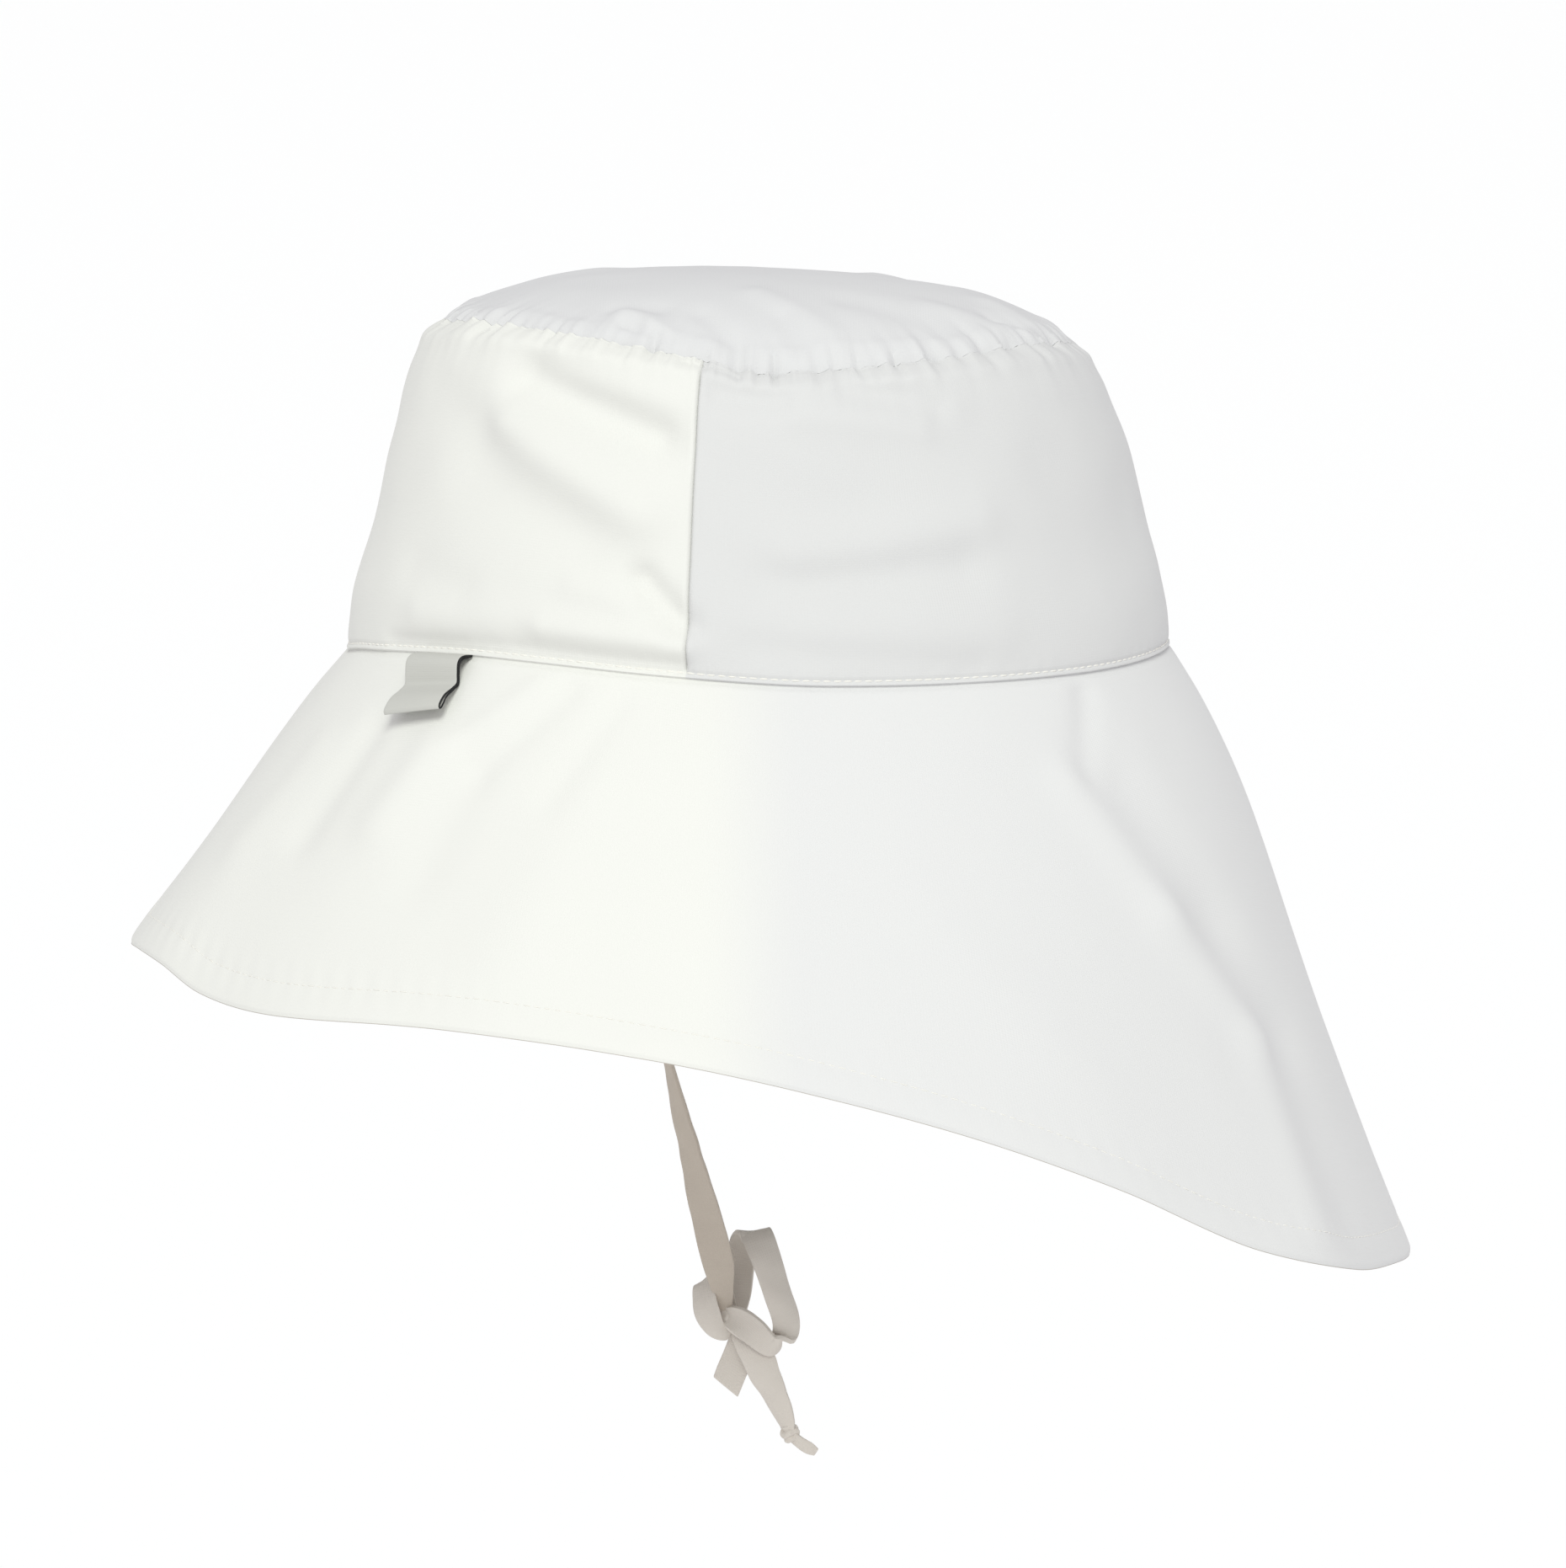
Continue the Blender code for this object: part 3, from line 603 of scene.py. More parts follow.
def on_tip(turn, radius):
    return on_oval(TIP_LENGTH, TIP_WIDTH, turn) * radius


def tip_cloth_point(turn, radius):
    point = tip_point(turn, radius)
    from_seam = (1 - radius) * TIP_RADIUS
    clear = min(1, from_seam / (4 * MM))
    rise = 0
    for f in TIP_FOLDS:
        start = on_tip(f.turn, f.radius)
        away = on_tip(turn, radius) - start
        run = on_tip(f.end_turn, f.end_radius) - start
        rise += f.rise * MM * ridge(away.x, away.y, run.x, run.y, f.half_width * MM)
    rise += slack(point, 0.024, 0.45 * MM) + slack(point, 0.009, 0.15 * MM)
    rise += SEAM_ROLL * 0.7 * hill(from_seam - 2.6 * MM, 2.0 * MM)
    dip = TIP_SEAM_DIP * hill(from_seam, TIP_SEAM_HALF) + tucks(turn, from_seam, 1)
    dip -= seam_wander(turn) * radius**14
    dip *= 1 if radius > 0.5 else 0
    point.z += rise * clear - dip * 0.8
    return point - outward(turn) * dip * 0.6


def tip_place(across, up):
    turn = 360 * across
    radius = math.cos(up * math.pi / 2) ** 0.55 if up < 1 else 0
    thread = on_tip(turn, radius) / MM
    return tip_cloth_point(turn, radius), (thread.x, thread.y)


tip = flat_cut("crown_tip_cloth", TIP_CLOTH_COLUMNS, TIP_CLOTH_ROWS)
sewn(tip, tip_place)
closed_up()
thickened(tip, WALL, -1, 0.25 * MM)
# Painted shade: the tip's copy of the poplin is set greyer than the front panel's, as shade on the
# top.
tip.data.materials.append(poplin("white cotton poplin", "#D2D2D3", "#D0D0D1", 0.20))
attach(tip, "root")
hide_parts("crown_tip")

# Brim and neck flap
# One ring of stiffened double poplin, narrow at the forehead and long behind, sewn to the crown
# under its pressed edge. Its hem is turned and topstitched, and puckers a little at the front.

BRIM_FRONT_REACH = 0.0440
BRIM_SIDE_REACH = 0.0380
FLAP_REACH = 0.0497
BRIM_FRONT_FALL = 0.058
FLAP_FALL = 0.121
BRIM_FRONT_BULGE = 0.0007
FLAP_BULGE = 0.0033
BRIM_FOLD_HEIGHT = 0.0022

Fall = namedtuple("Fall", "turn share")
HEM_FALL = (
    Fall(0, 0.0),
    Fall(12, -0.03),
    Fall(20, -0.02),
    Fall(28, 0.035),
    Fall(38, 0.055),
    Fall(60, 0.035),
    Fall(80, 0.10),
    Fall(95, 0.20),
    Fall(110, 0.34),
    Fall(125, 0.53),
    Fall(140, 0.76),
    Fall(155, 0.90),
    Fall(168, 0.965),
    Fall(180, 1.0),
)
BrimFold = namedtuple("BrimFold", "start_turn hem_turn half_turn start height")
BRIM_FOLDS = (
    BrimFold(73, 64, 9, 0.15, 0.5),
    BrimFold(38, 30, 10, 0.10, -0.4),
    BrimFold(139, 148, 10, 0.05, 1.0),
    BrimFold(168, 165, 9, 0.20, -0.6),
    BrimFold(222, 213, 11, 0.05, 1.0),
    BrimFold(192, 195, 9, 0.20, -0.4),
    BrimFold(290, 297, 10, 0.15, 0.5),
    BrimFold(325, 332, 10, 0.10, -0.4),
)

# Short creases of the brim: the start and end as turns and shares of the slope, half widths and
# rises in millimetres
Wrinkle = namedtuple("Wrinkle", "turn slope end_turn end_slope half_width rise")
BRIM_WRINKLES = (
    Wrinkle(65, 0.06, 56, 0.30, 3.4, -0.7),
    Wrinkle(72, 0.08, 66, 0.36, 3.4, -0.6),
    Wrinkle(60, 0.06, 51, 0.24, 3.0, 0.5),
    Wrinkle(48, 0.27, 44, 0.46, 6.0, 1.5),
    Wrinkle(36, 0.22, 32, 0.52, 5.0, -1.2),
    Wrinkle(55, 0.32, 52, 0.60, 6.0, -0.8),
    Wrinkle(72, 0.30, 65, 0.80, 9.0, 1.0),
    Wrinkle(26, 0.30, 22, 0.62, 6.0, 0.7),
    Wrinkle(80, 0.45, 82, 0.85, 9.0, -0.6),
    Wrinkle(139, 0.03, 134, 0.16, 4.0, -0.9),
    Wrinkle(131, 0.20, 140, 0.42, 5.5, 1.2),
    Wrinkle(140, 0.42, 149, 0.62, 5.5, 1.2),
    Wrinkle(149, 0.62, 149, 0.93, 5.5, 1.1),
    Wrinkle(140, 0.20, 149, 0.42, 8.0, -1.1),
    Wrinkle(149, 0.42, 157, 0.62, 8.0, -1.0),
    Wrinkle(157, 0.62, 157, 0.90, 8.0, -0.8),
    Wrinkle(110, 0.55, 122, 0.75, 9.0, 0.4),
    Wrinkle(295, 0.08, 303, 0.30, 3.0, -0.4),
    Wrinkle(314, 0.30, 317, 0.48, 5.0, 0.6),
    Wrinkle(228, 0.20, 219, 0.44, 4.5, 0.8),
    Wrinkle(219, 0.44, 212, 0.90, 4.5, 0.7),
    Wrinkle(206, 0.10, 202, 0.50, 8.0, -0.8),
)
BRIM_DEGREE = 1.65 * MM
HEM_STITCH_ABOVE = 6.7 * MM
HEM_STITCH_DIP = 0.12 * MM
HEM_ROLL = 0.12 * MM
HEM_RIPPLE = 0.15 * MM
HEM_EDGE_TURN = 0.50 * MM
SEAM_EDGE_DIP = 0.40 * MM
BRIM_CLOTH_COLUMNS = 560
BRIM_CLOTH_ROWS = 77


@functools.cache
def hem_point(turn):
    side = math.sin(math.radians(turn)) ** 2
    end_reach = BRIM_FRONT_REACH if mirrored(turn) < 90 else FLAP_REACH
    reach = end_reach + (BRIM_SIDE_REACH - end_reach) * side
    point = base_point(turn) + outward(turn) * reach
    fall = eased(HEM_FALL, "turn", "share", mirrored(turn))
    point.z = -(BRIM_FRONT_FALL + (FLAP_FALL - BRIM_FRONT_FALL) * fall)
    return point


@functools.cache
def slope_length(turn):
    return (hem_point(turn) - base_point(turn)).length


@functools.cache
def brim_face(turn):
    """The direction square to the brim's slope."""
    down = (hem_point(turn) - base_point(turn)).normalized()
    return (outward(turn) - down * down.dot(outward(turn))).normalized()


def brim_point(turn, slope):
    """The smooth brim, from the base seam at slope 0 to the hem at slope 1."""
    point = base_point(turn).lerp(hem_point(turn), slope)
    bulge = BRIM_FRONT_BULGE + (FLAP_BULGE - BRIM_FRONT_BULGE) * mirrored(turn) / 180
    shift = bulge * 9.48 * slope * (1 - slope) ** 3
    for f in BRIM_FOLDS:
        middle = f.start_turn + (f.hem_turn - f.start_turn) * slope
        rise = max(0, (slope - f.start) / (1 - f.start))
        shift += BRIM_FOLD_HEIGHT * f.height * rise * hill(turn_between(turn, middle), f.half_turn)
    return point + outward(turn) * shift


def brim_cloth(turn, slope):
    """The brim as sewn, with its wrinkles, hem and puckers."""
    point = brim_point(turn, slope)
    length = slope_length(turn)
    from_seam, from_hem = slope * length, (1 - slope) * length
    rise = 0
    for w in BRIM_WRINKLES:
        away = turn_between(turn, w.turn)
        if abs(away) < 30:
            rise += w.rise * MM * ridge(
                away * BRIM_DEGREE,
                (slope - w.slope) * length,
                turn_between(w.end_turn, w.turn) * BRIM_DEGREE,
                (w.end_slope - w.slope) * length,
                w.half_width * MM,
            )
    rise *= min(1, from_seam / (3 * MM))
    rise += slack(point, 0.045, 0.55 * MM) * min(1, from_seam / (10 * MM))
    rise += slack(point, 0.012, 0.10 * MM) * min(1, from_seam / (5 * MM))
    rise -= HEM_STITCH_DIP * hill(from_hem - HEM_STITCH_ABOVE, 0.7 * MM)
    rise += HEM_ROLL * hill(from_hem - HEM_STITCH_ABOVE / 2, 2.4 * MM)
    gathered = 0.35 + 0.65 * hill(turn_between(turn, 30), 26)
    gathered *= 0.7 + 0.6 * noise.noise(point / 0.02)
    ripple = math.sin(turn * 1.15 * 2 + from_hem / MM * 0.35 + 2 * noise.noise(point / 0.03))
    rise += HEM_RIPPLE * gathered * ripple * hill(from_hem - HEM_STITCH_ABOVE, 4.0 * MM)
    rise -= HEM_EDGE_TURN * hill(from_hem, 0.5 * MM)
    rise -= SEAM_EDGE_DIP * hill(from_seam, 0.7 * MM)
    return point + brim_face(turn) * rise


def brim_place(across, up):
    turn = 360 * across
    slope = 1 - crowded(up, 0.72)
    length = slope_length(turn) / MM
    thread = (turn * BRIM_DEGREE / MM, (1 - slope) * length)
    point = brim_cloth(turn, slope)
    if up == 1:
        point = point + Vector((0, 0, 0.6 * MM)) - outward(turn) * 0.15 * MM
    return point, thread


brim = flat_cut("brim_neck_flap_cloth", BRIM_CLOTH_COLUMNS, BRIM_CLOTH_ROWS)
sewn(brim, brim_place)
closed_up()
thickened(brim, WALL, -1, 0.30 * MM)

# The stiffened poplin is painted creamier and lighter over the forehead, where the key falls, and
# painted greyer over the neck, where the flap turns away: painted light and shade.
# It is also painted darker along the fold of its hem, as painted shade on the rounded edge.
BRIM_SHADE_FROM = -0.012
BRIM_SHADE_TO = 0.010
brim_painted_light_finish = poplin("stiffened cotton poplin, painted light and shade", "#DEDEDA", "#DCDCD8", 0.20)
brim_tree = brim_painted_light_finish.node_tree
brim_shader = brim_tree.nodes["Principled BSDF"]
lit_cloth_color = brim_shader.inputs["Base Color"].links[0].from_socket
brim_spot = add_node(brim_tree, "ShaderNodeTexCoord", {}, {})
brim_axes = add_node(brim_tree, "ShaderNodeSeparateXYZ", {}, {"Vector": brim_spot.outputs["UV"]})
brim_place_axes = add_node(
    brim_tree, "ShaderNodeSeparateXYZ", {}, {"Vector": brim_spot.outputs["Object"]}
)
# Painted shade: greyer towards the neck flap, which turns away from the key light.
neck_shade_share = add_node(
    brim_tree,
    "ShaderNodeMapRange",
    {"interpolation_type": "SMOOTHSTEP"},
    {"Value": brim_place_axes.outputs["Y"], "From Min": BRIM_SHADE_FROM, "From Max": BRIM_SHADE_TO},
)
brim_painted_light_and_shade = add_node(
    brim_tree,
    "ShaderNodeMix",
    {"data_type": "RGBA"},
    {"Factor": neck_shade_share.outputs["Result"], 6: lit_cloth_color, 7: linear("#D6D6D6")},
)
# Painted shade: a darker line along the hem's rounded fold edge.
hem_edge_shade_mask = add_node(
    brim_tree, "ShaderNodeMath", {"operation": "LESS_THAN"}, {0: brim_axes.outputs["Y"], 1: 0.12}
)
hem_edge_shade_color = add_node(
    brim_tree,
    "ShaderNodeMix",
    {"data_type": "RGBA"},
    {"Factor": hem_edge_shade_mask.outputs["Value"], 6: brim_painted_light_and_shade.outputs[2], 7: linear("#B4AFA8")},
)
brim_tree.links.new(hem_edge_shade_color.outputs[2], brim_shader.inputs["Base Color"])
brim.data.materials.append(brim_painted_light_finish)
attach(brim, "root")
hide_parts("brim_neck_flap")

# Topstitching
# Lockstitch in white polyester-cotton thread, about twelve stitches in 25 mm, just above the
# base seam and along the hem. Each stitch sinks into the cloth at its ends.

STITCH_PITCH = 2.0 * MM
STITCH_LENGTH = 1.6 * MM
BASE_THREAD_RADIUS = 0.17 * MM
HEM_THREAD_RADIUS = 0.10 * MM


def one_stitch(radius):
    """A stitch along X: a thread that is round in the middle and thin where it dives."""
    bpy.ops.object.select_all(action="DESELECT")
    bpy.ops.mesh.primitive_cylinder_add(
        vertices=6, radius=radius, depth=STITCH_LENGTH * 0.5, rotation=(0, math.pi / 2, 0)
    )
    stitch = bpy.context.object
    bpy.ops.object.transform_apply(rotation=True)
    bpy.ops.object.mode_set(mode="EDIT")
    for side in (-1, 1):
        bpy.ops.mesh.select_all(action="DESELECT")
        edit = bmesh.from_edit_mesh(stitch.data)
        for face in edit.faces:
            face.select_set(face.normal.x * side > 0.9)
        bmesh.update_edit_mesh(stitch.data)
        bpy.ops.mesh.extrude_region_move(
            TRANSFORM_OT_translate={
                "value": (side * STITCH_LENGTH * 0.25, 0, -radius * 0.9)
            }
        )
        bpy.ops.transform.resize(value=(1, 0.5, 0.5))
    bpy.ops.object.mode_set(mode="OBJECT")
    return stitch


def stitch_row(name, radius, turns, point_at, face_at):
    """A row of stitches laid end to end along a line on the cloth."""
    stitch = one_stitch(radius)
    row = bmesh.new()
    for turn in turns:
        middle, face = point_at(turn), face_at(turn)
        along = (point_at(turn + 0.5) - point_at(turn - 0.5)).normalized()
        side = face.cross(along).normalized()
        up = along.cross(side)
        pose = Matrix((along, side, up)).transposed().to_4x4()
        pose.translation = middle + up * radius * 0.35
        copy = stitch.data.copy()
        copy.transform(pose)
        row.from_mesh(copy)
        bpy.data.meshes.remove(copy)
    bpy.data.objects.remove(stitch)
    mesh = bpy.data.meshes.new(name)
    row.to_mesh(mesh)
    row.free()
    mesh.materials.append(thread_finish)
    mesh.shade_smooth()
    stitches = bpy.data.objects.new(name, mesh)
    bpy.context.collection.objects.link(stitches)
    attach(stitches, "root")
    return stitches


def even_turns(point_at, pitch):
    """Turns round the hat that a line of that pitch passes through."""
    turns, turn = [], 0.0
    while turn < 360:
        turns.append(turn)
        step = (point_at(turn + 0.5) - point_at(turn)).length * 2
        turn += pitch / step
    return [t * 360 / turn for t in turns]


# Spun thread: matt, and a little warmer than the cloth, with its twist as fine slanting relief
thread_finish = bpy.data.materials.new("spun sewing thread")
thread_finish.use_nodes = True
thread_tree = thread_finish.node_tree
thread_shader = thread_tree.nodes["Principled BSDF"]
thread_shader.inputs["Base Color"].default_value = linear("#E6E4DE")
thread_shader.inputs["Roughness"].default_value = 0.7
thread_place = add_node(thread_tree, "ShaderNodeTexCoord", {}, {})
thread_twist = add_node(
    thread_tree,
    "ShaderNodeTexWave",
    {"wave_type": "BANDS", "bands_direction": "DIAGONAL"},
    {"Vector": thread_place.outputs["Object"], "Scale": 700.0},
)
thread_bump = add_node(
    thread_tree,
    "ShaderNodeBump",
    {},
    {"Height": thread_twist.outputs["Fac"], "Strength": 0.4, "Distance": 0.00003},
)
thread_tree.links.new(thread_bump.outputs["Normal"], thread_shader.inputs["Normal"])


def nearer_seam(turn):
    return SIDE_SEAM_TURN if mirrored(turn) == turn % 360 else -SIDE_SEAM_TURN


def base_stitch_point(turn):
    return crown_cloth(turn, BASE_STITCH_ABOVE / CROWN_SIDE, nearer_seam(turn))


def hem_stitch_point(turn):
    return brim_cloth(turn, 1 - HEM_STITCH_ABOVE / slope_length(turn))


stitch_row(
    "base_seam_topstitch",
    BASE_THREAD_RADIUS,
    even_turns(base_stitch_point, STITCH_PITCH),
    base_stitch_point,
    outward,
)
stitch_row(
    "hem_topstitch",
    HEM_THREAD_RADIUS,
    even_turns(hem_stitch_point, STITCH_PITCH),
    hem_stitch_point,
    brim_face,
)

# Side tag
# A woven label of 13 mm tape, folded double and caught in the base seam at the front left. It
# stands off the brim in a wave, so its black cut edge shows. Its face is bare.

TAG_TURN = 43.0
TAG_WIDTH = 13.4
TAG_LENGTH = 13.5
TAG_WALL = 0.40 * MM
TAG_COLUMNS = 24
TAG_ROWS = 90

# The label's path from the seam down its front, round its fold and up behind: its share of the
# way, how far down the brim it is and how far it stands off
TagStep = namedtuple("TagStep", "along down off")
TAG_PATH = (
    TagStep(0.0, -0.2, 0.1),
    TagStep(0.04, 0.6, 1.6),
    TagStep(0.08, 1.6, 2.7),
    TagStep(0.14, 3.0, 3.0),
    TagStep(0.22, 5.0, 2.0),
    TagStep(0.28, 6.6, 1.2),
    TagStep(0.34, 8.2, 1.9),
    TagStep(0.42, 10.6, 3.4),
    TagStep(0.48, 13.0, 3.9),
    TagStep(0.50, 13.6, 3.5),
    TagStep(0.52, 13.0, 3.05),
    TagStep(0.58, 10.6, 2.7),
    TagStep(0.66, 8.2, 1.45),
    TagStep(0.72, 6.6, 0.7),
    TagStep(0.78, 5.0, 1.5),
    TagStep(0.86, 3.0, 2.5),
    TagStep(0.92, 1.7, 2.2),
    TagStep(0.96, 0.8, 1.2),
    TagStep(1.0, -0.2, 0.1),
)
TAG_DRIFT = 0.13
TAG_ASKEW = 0.16


def tag_place(across, up):
    """The label's cloth: across from its front edge to its back edge, up along its path."""
    down = eased(TAG_PATH, "along", "down", up)
    off = eased(TAG_PATH, "along", "off", up)
    side = (across - 0.5) * TAG_WIDTH
    down -= side * TAG_ASKEW * max(0, down / TAG_LENGTH)
    side += TAG_DRIFT * down
    slope = down * MM / slope_length(TAG_TURN)
    degree = (brim_point(TAG_TURN + 0.5, slope) - brim_point(TAG_TURN - 0.5, slope)).length
    turn = TAG_TURN + side * MM / degree
    point = brim_point(turn, slope) + brim_face(turn) * off * MM
    return point, (across * TAG_WIDTH, up * TAG_LENGTH * 2)


# Woven label: grey filament yarn, beaten flat, with a black selvedge along its cut edge. The
# selvedge is narrow, and the ribs run across the label 0.4 mm apart.
tag_finish = bpy.data.materials.new("woven label tape")
tag_finish.use_nodes = True
tag_tree = tag_finish.node_tree
tag_shader = tag_tree.nodes["Principled BSDF"]
tag_spot = add_node(tag_tree, "ShaderNodeTexCoord", {}, {})
tag_axes = add_node(tag_tree, "ShaderNodeSeparateXYZ", {}, {"Vector": tag_spot.outputs["UV"]})
tag_selvedge = add_node(
    tag_tree,
    "ShaderNodeMath",
    {"operation": "GREATER_THAN"},
    {0: tag_axes.outputs["X"], 1: TAG_WIDTH - 0.12},
)
tag_color = add_node(
    tag_tree,
    "ShaderNodeMix",
    {"data_type": "RGBA"},
    {"Factor": tag_selvedge.outputs["Value"], 6: linear("#BDBDB8"), 7: linear("#121316")},
)
tag_ribs = add_node(
    tag_tree,
    "ShaderNodeTexWave",
    {"wave_type": "BANDS", "bands_direction": "Y"},
    {"Vector": tag_spot.outputs["UV"], "Scale": WAVE_PERIOD / 0.4, "Distortion": 0.3},
)
tag_bump = add_node(
    tag_tree,
    "ShaderNodeBump",
    {},
    {"Height": tag_ribs.outputs["Fac"], "Strength": 0.35, "Distance": 0.00005},
)
tag_tree.links.new(tag_color.outputs[2], tag_shader.inputs["Base Color"])
tag_tree.links.new(tag_bump.outputs["Normal"], tag_shader.inputs["Normal"])
tag_shader.inputs["Roughness"].default_value = 0.6
tag_shader.inputs["Specular IOR Level"].default_value = 0.35

tag = flat_cut("side_tag_label", TAG_COLUMNS, TAG_ROWS)
sewn(tag, tag_place)
thickened(tag, TAG_WALL, 0, 0.10 * MM)
tag.data.materials.append(tag_finish)
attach(tag, "root")
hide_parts("side_tag")

# Chin ties and bow
# Two narrow ties of the same cotton, folded in four and pressed, sewn inside the base seam
# near the temples and knotted in a small bow below the chin.

TIE_WIDTH = 6.6
TIE_WALL = 0.9 * MM
TIE_SEAM_TURN = 64.0
TIE_SEWN_LENGTH = 7 * MM
KNOT_MIDDLE = Vector((0, -0.0056, -0.1359))
TIE_COLUMNS = 10
TIE_STEPS = 10

# A stop of a band's middle line, in millimetres from the knot: towards the back, up, and towards
# the wearer's left. Then the band's width, how far it is cupped, and the way its width runs.
Stop = namedtuple("Stop", "back up left width cup way_back way_up way_left")
LARGE_LOOP = (
    Stop(0.6, 1.0, -1.4, 4.6, 0.3, 1.0, 0.0, 0.0),
    Stop(1.4, 5.2, -2.9, 5.4, 0.3, 1.0, 0.0, 0.0),
    Stop(1.8, 10.4, -4.0, 5.8, 0.4, 1.0, 0.0, 0.1),
    Stop(3.0, 15.2, -3.4, 6.2, 0.3, 1.0, 0.1, 0.1),
    Stop(4.6, 17.6, -0.8, 6.6, 0.1, 1.0, 0.05, 0.0),
    Stop(5.9, 15.9, 1.6, 6.3, 0.3, 1.0, 0.05, -0.1),
    Stop(7.6, 11.2, 2.8, 5.7, 0.7, 1.0, 0.25, -0.3),
    Stop(9.4, 5.6, 3.3, 5.4, 0.8, 1.0, 0.3, -0.4),
    Stop(11.0, 0.4, 3.2, 5.3, 0.6, 1.0, 0.35, -0.35),
    Stop(10.6, -3.2, 3.4, 5.0, 0.3, 0.7, 0.75, 0.1),
    Stop(8.2, -4.4, 4.6, 4.8, 0.2, 0.35, 0.9, 0.3),
    Stop(4.6, -1.6, 4.5, 5.6, 0.5, 0.5, 0.85, 0.1),
    Stop(1.2, 0.6, 3.6, 5.2, 0.8, 0.5, 0.85, 0.0),
    Stop(-1.4, 1.2, 1.6, 3.4, 0.6, 0.4, 0.85, 0.0),
    Stop(-1.2, 0.4, -1.0, 2.6, 0.2, 0.3, 0.9, 0.0),
)
SMALL_LOOP = (
    Stop(-0.4, 1.0, -1.2, 3.6, 0.2, 0.8, 0.5, 0.0),
    Stop(-1.8, 4.6, -2.2, 4.8, 0.2, 0.8, 0.55, 0.0),
    Stop(-4.2, 7.6, -1.6, 4.4, 0.2, 0.75, 0.62, 0.0),
    Stop(-5.4, 7.6, 0.4, 4.4, 0.1, 0.72, 0.66, 0.1),
    Stop(-5.2, 5.0, 1.9, 5.0, 0.4, 0.80, 0.55, 0.3),
    Stop(-4.5, 1.6, 2.6, 5.0, 0.6, 0.86, 0.45, 0.2),
    Stop(-3.0, -1.2, 2.6, 3.8, 0.5, 0.80, 0.60, 0.1),
    Stop(-0.6, -2.4, 1.4, 3.0, 0.3, 0.60, 0.78, 0.0),
    Stop(0.6, -1.6, -0.4, 2.4, 0.1, 0.50, 0.80, 0.0),
)
SHORT_END = (
    Stop(2.4, -0.6, -0.6, 4.0, 0.2, 0.93, -0.30, 0.0),
    Stop(2.4, -4.0, -1.2, 5.4, 0.3, 0.93, -0.33, 0.0),
    Stop(1.4, -8.0, -1.6, 6.1, 0.2, 0.93, -0.36, 0.1),
    Stop(0.1, -11.2, -1.7, 6.2, 0.2, 0.93, -0.36, 0.1),
    Stop(-1.1, -14.2, -1.6, 6.1, 0.2, 0.93, -0.36, 0.0),
)
LONG_END = (
    Stop(1.4, -0.4, 0.6, 4.0, 0.2, 0.95, 0.30, 0.0),
    Stop(3.4, -3.6, 1.8, 5.8, 0.5, 0.95, 0.30, 0.0),
    Stop(5.7, -7.6, 2.2, 6.6, 0.5, 0.93, 0.36, 0.1),
    Stop(6.9, -10.8, 2.1, 6.4, 0.6, 0.93, 0.36, 0.3),
    Stop(8.5, -14.0, 1.9, 6.0, 0.7, 0.92, 0.38, 0.6),
    Stop(10.1, -17.3, 1.7, 5.4, 0.8, 0.90, 0.40, 0.8),
    Stop(11.4, -20.6, 1.5, 4.2, 0.7, 0.88, 0.42, 0.9),
    Stop(12.0, -22.8, 1.4, 2.8, 0.4, 0.85, 0.45, 0.9),
    Stop(13.6, -24.4, 1.4, 2.4, 0.3, 0.80, 0.60, 0.5),
    Stop(15.6, -25.9, 1.3, 2.4, 0.3, 0.66, 0.75, 0.2),
    Stop(17.2, -26.9, 1.2, 1.6, 0.1, 0.60, 0.80, 0.2),
)


def curve_through(rows, steps):
    """Rows on a smooth curve through the given ones. A row's first three numbers are its place."""
    places = [Vector(row[:3]) for row in rows]
    at = [0.0]
    for a, b in zip(places, places[1:]):
        at.append(at[-1] + (b - a).length)
    last = len(rows) - 1

    def slope(k):
        a, b = max(k - 1, 0), min(k + 1, last)
        return (rows[b] - rows[a]) / (at[b] - at[a])

    result = []
    for i in range(last):
        span, leave, arrive = at[i + 1] - at[i], slope(i), slope(i + 1)
        for k in range(steps):
            u = k / steps
            start = rows[i] * ((1 + 2 * u) * (1 - u) ** 2) + leave * (span * u * (1 - u) ** 2)
            end = rows[i + 1] * (u * u * (3 - 2 * u)) - arrive * (span * u * u * (1 - u))
            result.append(start + end)
    return result + [rows[-1]]


def stop_row(stop):
    """A stop's place from the knot's as one in space, with the rest of its numbers."""
    place = KNOT_MIDDLE + Vector((stop.left, stop.back, stop.up)) * MM
    way = (stop.way_left, stop.way_back, stop.way_up)
    return Vector((*place, stop.width * MM, stop.cup * MM, *way))


def tie_band(name, stops, slanted_end, finish, node):
    """A flat tie laid along its stops. slanted_end is how much longer its far edge is cut."""
    rows = curve_through(stops, TIE_STEPS)
    middles = [Vector(row[:3]) for row in rows]
    last = len(rows) - 1
    run = [0.0]
    for a, b in zip(middles, middles[1:]):
        run.append(run[-1] + (b - a).length)

    def place(across, up):
        i = round(up * last)
        along = (middles[min(i + 1, last)] - middles[max(i - 1, 0)]).normalized()
        width, cup = rows[i][3], rows[i][4]
        way = Vector(rows[i][5:8])
        way = (way - along * way.dot(along)).normalized()
        face = along.cross(way)
        side = across - 0.5
        point = middles[i] + way * side * width + face * cup * (1 - 4 * side * side)
        point += face * slack(point, 0.005, 0.35 * MM)
        near_end = max(0, 1 - (run[-1] - run[i]) / (8 * MM))
        point += along * slanted_end * side * near_end
        return point, (across * TIE_WIDTH, run[i] / MM)

    band = flat_cut(name, TIE_COLUMNS, last)
    sewn(band, place)
    thickened(band, TIE_WALL, 0, 0.26 * MM)
    band.data.materials.append(finish)
    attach(band, "root")
    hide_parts(node)
    return band


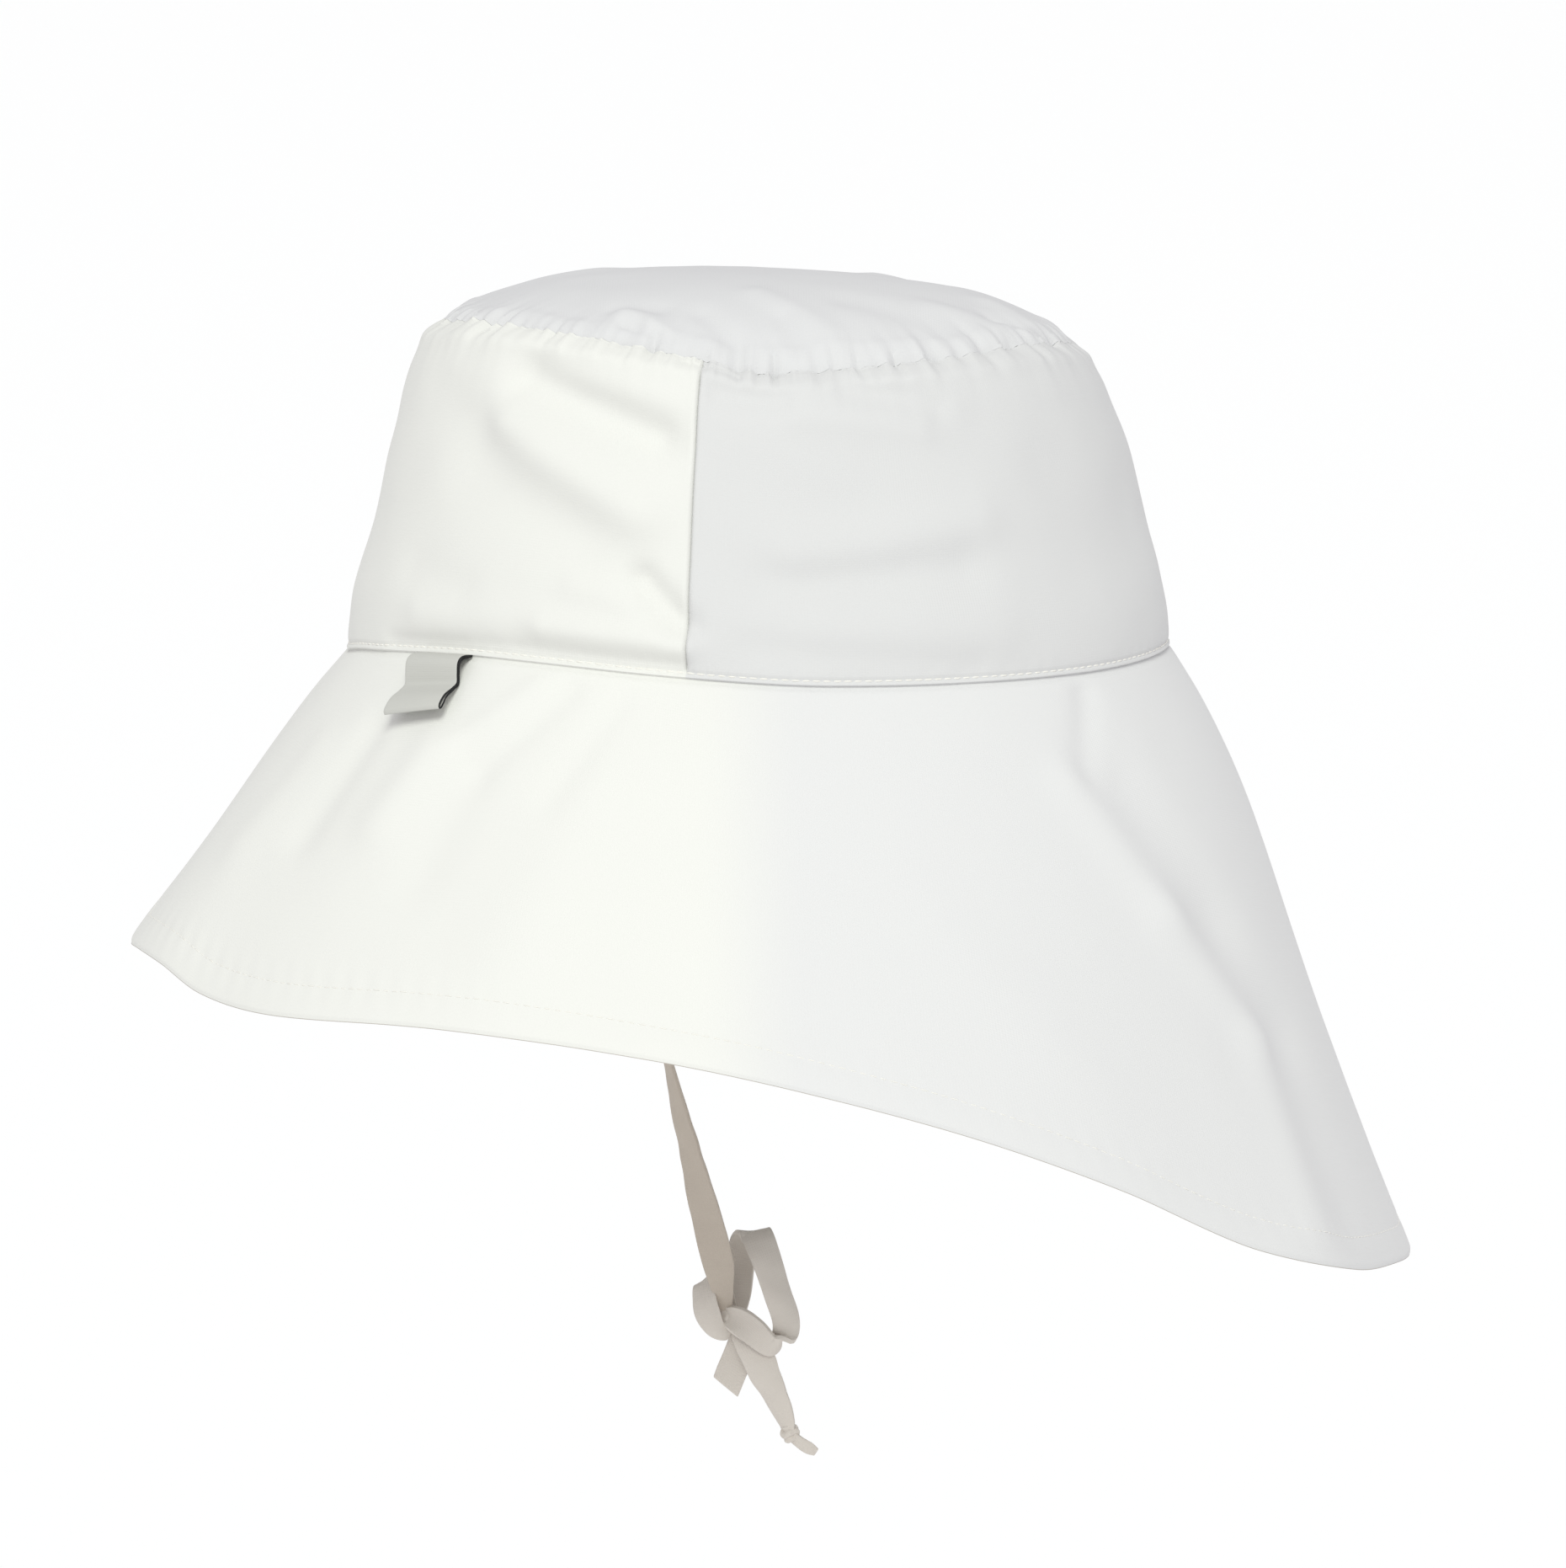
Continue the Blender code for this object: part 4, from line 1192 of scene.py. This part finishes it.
def tie_stops(is_left):
    """Stops of a tie from inside the crown down to the knot, with its twist."""
    turn = TIE_SEAM_TURN if is_left else 360 - TIE_SEAM_TURN
    inside = outward(turn) * -(WALL + 0.0003 + TIE_WALL / 2)
    sewn_top = crown_point(turn, TIE_SEWN_LENGTH / CROWN_SIDE) + inside
    seam = base_point(turn) + inside * 1.15
    end = KNOT_MIDDLE + (seam - KNOT_MIDDLE).normalized() * 2 * MM
    sway = Vector((0, 0 if is_left else -3.2 * MM, 0))
    flat = base_point(turn + 2) - base_point(turn - 2)
    rows = [Vector((*sewn_top, TIE_WIDTH * MM, 0, *flat.normalized()))]
    rows.append(Vector((*seam, TIE_WIDTH * MM, 0, *flat.normalized())))
    for t in TIE_TWIST:
        middle = seam.lerp(end, t.along) + sway * math.sin(math.pi * t.along)
        middle += Vector((0, t.back * MM if is_left else 0, 0))
        turned = math.radians(t.left_way if is_left else t.right_way)
        way = (math.cos(turned) if is_left else -math.cos(turned), math.sin(turned), 0)
        rows.append(Vector((*middle, t.width * MM, t.cup * MM, *way)))
    return rows


# Where each tie's width runs on its way down: 0 towards the ear, 90 towards the back
Twist = namedtuple("Twist", "along left_way right_way width cup back")
TIE_TWIST = (
    Twist(0.12, 55, 55, 6.4, 0.3, 0.0),
    Twist(0.25, 25, 20, 6.0, 0.5, 0.0),
    Twist(0.40, 6, 5, 5.6, 0.5, 0.0),
    Twist(0.52, 4, 0, 5.6, 0.4, 0.0),
    Twist(0.62, 18, 0, 5.8, 0.3, 0.0),
    Twist(0.70, 32, 0, 6.0, 0.3, 0.0),
    Twist(0.78, 52, 0, 6.2, 0.4, 0.1),
    Twist(0.86, 74, 0, 6.4, 0.4, 0.2),
    Twist(0.92, 86, 0, 6.2, 0.4, 0.2),
    Twist(0.965, 90, 0, 4.2, 0.3, -0.2),
    Twist(1.0, 90, 0, 2.0, 0.2, -0.4),
)

# Narrow cotton tie: the cloth folded in four, so firmer and flatter than the hat. The ties' copy is
# painted darker and warmer, as painted shade below the brim; the bow's copy, which hangs clear of
# the brim, is painted lighter, with less painted shade.
tie_painted_shade_finish = poplin("folded cotton tie, painted shade", "#BEB4A8", "#B5AA9D", 0.35)
bow_painted_shade_finish = poplin("folded cotton bow, painted shade", "#D6D0C8", "#C9C1B8", 0.35)

tie_band("chin_tie_left_band", tie_stops(True), 0, tie_painted_shade_finish, "chin_tie_left")
tie_band(
    "chin_tie_right_band", tie_stops(False), 0, tie_painted_shade_finish, "chin_tie_right"
)
tie_band(
    "bow_loop_large_band", [stop_row(s) for s in LARGE_LOOP], 0, bow_painted_shade_finish, "bow_loop_large"
)
tie_band(
    "bow_loop_small_band", [stop_row(s) for s in SMALL_LOOP], 0, bow_painted_shade_finish, "bow_loop_small"
)
tie_band(
    "tie_end_short_band", [stop_row(s) for s in SHORT_END], 2 * MM, bow_painted_shade_finish, "tie_end_short"
)
tie_band(
    "tie_end_long_band", [stop_row(s) for s in LONG_END], 0, bow_painted_shade_finish, "tie_end_long"
)

# Knots
# The tie pulled tight round itself: the bow's knot, mostly under its own turn, and a small
# overhand knot near the end of the long tie end.

KNOT_RADIUS = 3.0 * MM
END_KNOT_RADIUS = 2.0 * MM


def pulled_knot(name, middle, radius, axis, pinch):
    """A knot of wrapped cloth: a ball drawn in along the lines where its turns cross."""
    bpy.ops.object.select_all(action="DESELECT")
    bpy.ops.mesh.primitive_uv_sphere_add(segments=48, ring_count=32, radius=1)
    knot = bpy.context.object
    knot.name = name
    knot.data.name = name
    turned = axis.to_track_quat("Z", "Y").to_matrix()
    for v in knot.data.vertices:
        way = v.co.normalized()
        round_turn = math.atan2(way.y, way.x)
        band_edge = math.sin(round_turn * 2 + way.z * 2.4)
        size = 1 - pinch * abs(band_edge) ** 6 + 0.10 * math.cos(round_turn * 3 + way.z)
        size += 0.12 * noise.noise(way * 2.2)
        v.co = middle + turned @ Vector((way.x * size, way.y * size, way.z * size * 0.9)) * radius
    knot.data.materials.append(bow_painted_shade_finish)
    bpy.ops.object.shade_smooth()
    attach(knot, "root")
    return knot


bow_knot = pulled_knot("bow_knot_wrap", KNOT_MIDDLE, KNOT_RADIUS, Vector((0.3, 0.6, 0.7)), 0.16)
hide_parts("bow_knot")
end_knot_middle = KNOT_MIDDLE + Vector((1.4, 12.0, -22.9)) * MM
pulled_knot(
    "tie_end_knot", end_knot_middle, END_KNOT_RADIUS, Vector((0.2, 0.9, -0.4)), 0.2
)

# Studio
# A pale floor well below the hat, which hangs as a head would hold it, in even white light with a
# soft key from the wearer's left.

FLOOR_BELOW = 0.60
FLOOR_SIZE = 120
WORLD_STRENGTH = 0.65
KEY_TURN = 87
KEY_ELEVATION = 42
KEY_STRENGTH = 1.95
KEY_SPREAD = 28

bpy.ops.object.select_all(action="DESELECT")
bpy.ops.mesh.primitive_plane_add(size=FLOOR_SIZE, location=(0, 0, -FLOOR_BELOW))
floor = bpy.context.object
floor.name = "studio_floor"
floor_paint = bpy.data.materials.new("matt white floor paint")
floor_paint.use_nodes = True
floor_shader = floor_paint.node_tree.nodes["Principled BSDF"]
floor_shader.inputs["Base Color"].default_value = linear("#FCFCFC")
floor_shader.inputs["Roughness"].default_value = 0.9
floor_shader.inputs["Specular IOR Level"].default_value = 0.1
floor.data.materials.append(floor_paint)

world = bpy.data.worlds.new("studio_surround")
world.use_nodes = True
world.node_tree.nodes["Background"].inputs["Color"].default_value = linear("#FCFAFF")
world.node_tree.nodes["Background"].inputs["Strength"].default_value = WORLD_STRENGTH
bpy.context.scene.world = world
bpy.context.scene.view_settings.view_transform = "Standard"

key_turn, key_elevation = math.radians(KEY_TURN), math.radians(KEY_ELEVATION)
key_way = Vector((math.sin(key_turn), -math.cos(key_turn), math.tan(key_elevation)))
bpy.ops.object.light_add(
    type="SUN", location=key_way, rotation=key_way.to_track_quat("Z", "Y").to_euler()
)
key = bpy.context.object
key.name = "soft_key"
key.data.energy = KEY_STRENGTH
key.data.angle = math.radians(KEY_SPREAD)
key.data.color = linear("#FBFFF7")[:3]
